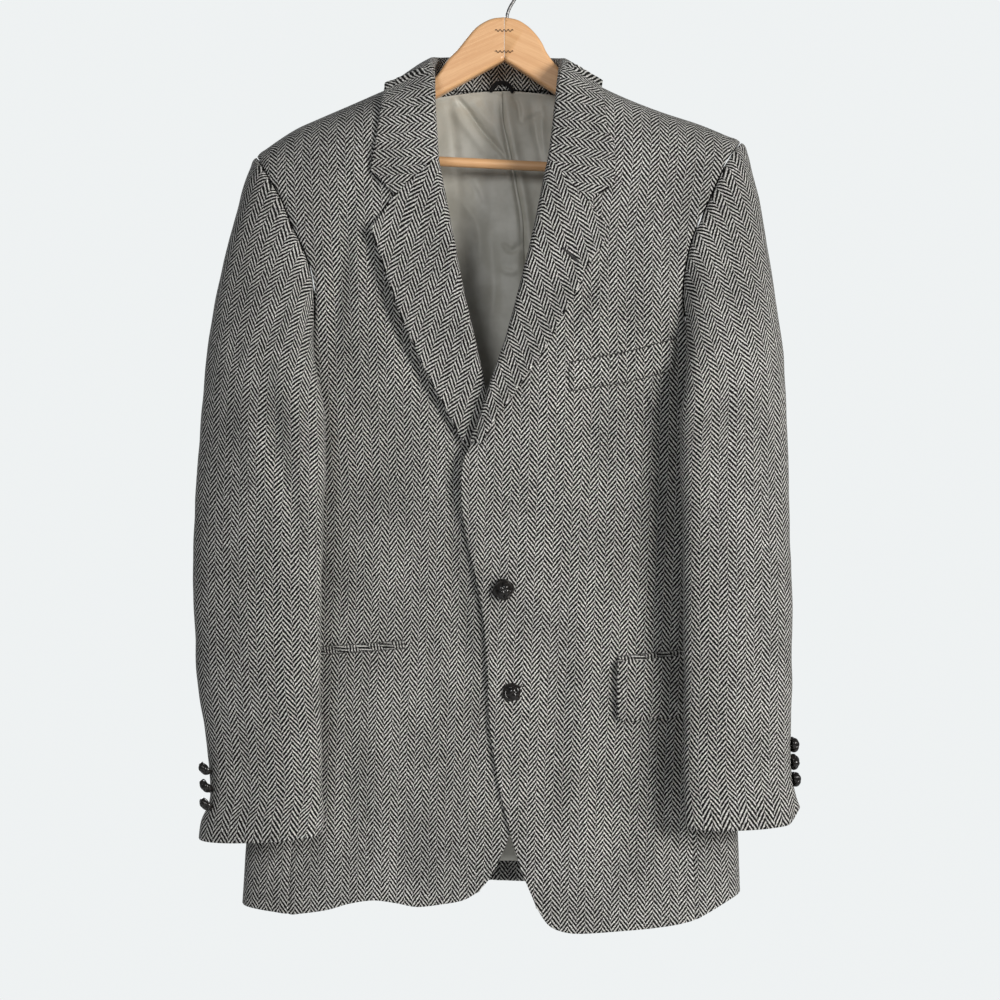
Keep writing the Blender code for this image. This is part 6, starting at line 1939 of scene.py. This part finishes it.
def stitches():
    tree, sockets = stitchTree()
    cloth, lift = shownCloth(), stitchForm["lift"] * mm
    for seed, (name, row) in enumerate(stitchForm["rows"].items()):
        lines, thread, spacing, length, thickness = row
        points, edges = [], []
        for line in lines:
            start = len(points)
            whole = float(np.hypot(*np.subtract(line[-1], line[0])))
            for x, z in evenly(line, max(int(whole / stitchForm["guideStep"]), 3)):
                hit = cloth.ray_cast(mathutils.Vector((x * mm, -0.5, z * mm)), (0, 1, 0))[0]
                points.append((hit.x, hit.y - lift, hit.z))
            edges += [(k, k + 1) for k in range(start, len(points) - 1)]
        mesh = bpy.data.meshes.new(name)
        mesh.from_pydata(points, edges, [])
        guide = added(name + "Line", mesh)
        modifier = guide.modifiers.new("stitches", "NODES")
        modifier.node_group = tree
        for socket, value in (
            ("Spacing", spacing * mm), ("Length", length * mm), ("Thickness", thickness * mm),
            ("Seed", seed), ("Thread", finishes[thread]),
        ):
            modifier[sockets[socket]] = value
        ready = guide.evaluated_get(bpy.context.evaluated_depsgraph_get())
        made = bpy.data.meshes.new_from_object(ready)
        bpy.data.objects.remove(guide)
        made.name = name
        finished(added(name, made), thread, "tweed")


stitches()
print("stage: stitches done")

# cloth: each piece's flat places, turned back as cut


def declareCloth(piece):
    layer = piece.data.uv_layers["weave"].data
    flat = np.empty(len(layer) * 2)
    layer.foreach_get("uv", flat)
    flat = turnedCut(flat.reshape(-1, 2), -cutTurns.get(piece.name, 0.0))


for piece, surface, held, on in sheets:
    declareCloth(piece)


# floor and light

lightForm = dict(
    sky=(0.93, 0.96, 1.0),
    skyStrength=0.23,
    backdrop=(0.86, 0.885, 0.89),
    key=dict(place=(2.25, -2.35, -0.1), size=1.3, power=98, colour=(1.0, 0.98, 0.95)),
    fill=dict(place=(-0.9, -3.4, 0.3), size=0.9, power=27, colour=(0.97, 0.985, 1.0)),
    back=dict(place=(-1.4, 3.0, 0.6), size=2.0, power=60, colour=(0.97, 0.985, 1.0)),
    floorLevel=-1.25,
    floorRadius=1.05,
    floorColours=((0.78, 0.79, 0.8), (0.82, 0.83, 0.84)),
)


def addLight(name, place, size, power, colour):
    data = bpy.data.lights.new(name, "AREA")
    data.shape, data.size, data.energy, data.color = "DISK", size, power, colour
    light = added(name, data)
    light.location = place
    aim = mathutils.Vector((0, 0, -0.5)) - light.location
    light.rotation_euler = aim.to_track_quat("-Z", "Y").to_euler()


world = bpy.data.worlds.new("studio")
world.use_nodes = True
tree = world.node_tree
sky = tree.nodes["Background"]
sky.inputs["Color"].default_value = (*lightForm["sky"], 1)
sky.inputs["Strength"].default_value = lightForm["skyStrength"]
seen = put(tree, "ShaderNodeBackground", {"Color": (*lightForm["backdrop"], 1), "Strength": 1.0})
direct = tree.nodes.new("ShaderNodeLightPath").outputs["Is Camera Ray"]
both = put(tree, "ShaderNodeMixShader", {0: direct, 1: sky.outputs[0], 2: seen.outputs[0]})
tree.links.new(both.outputs[0], tree.nodes["World Output"].inputs["Surface"])
bpy.context.scene.world = world
bpy.context.scene.view_settings.view_transform = "Standard"
for name in ("key", "fill", "back"):
    addLight(name, **lightForm[name])

turns = np.linspace(0, 2 * math.pi, 96, endpoint=False)
floorPoints = np.stack([np.cos(turns), np.sin(turns), 0 * turns], axis=1)
floorPoints = (floorPoints * lightForm["floorRadius"] + (0, 0, lightForm["floorLevel"])) / mm
floor = plainMesh("studioFloor", floorPoints, [tuple(range(96))])
tree, shader = material("floor", 0.9)
grit = ranged(tree, noise(tree, objectPlace(tree, 1.0), 60.0), 0.3, 0.7)
grey = blended(tree, grit, *lightForm["floorColours"])
tree.links.new(grey, shader.inputs["Base Color"])
floor.data.materials.append(finishes["floor"])
print("stage: floor and light done")
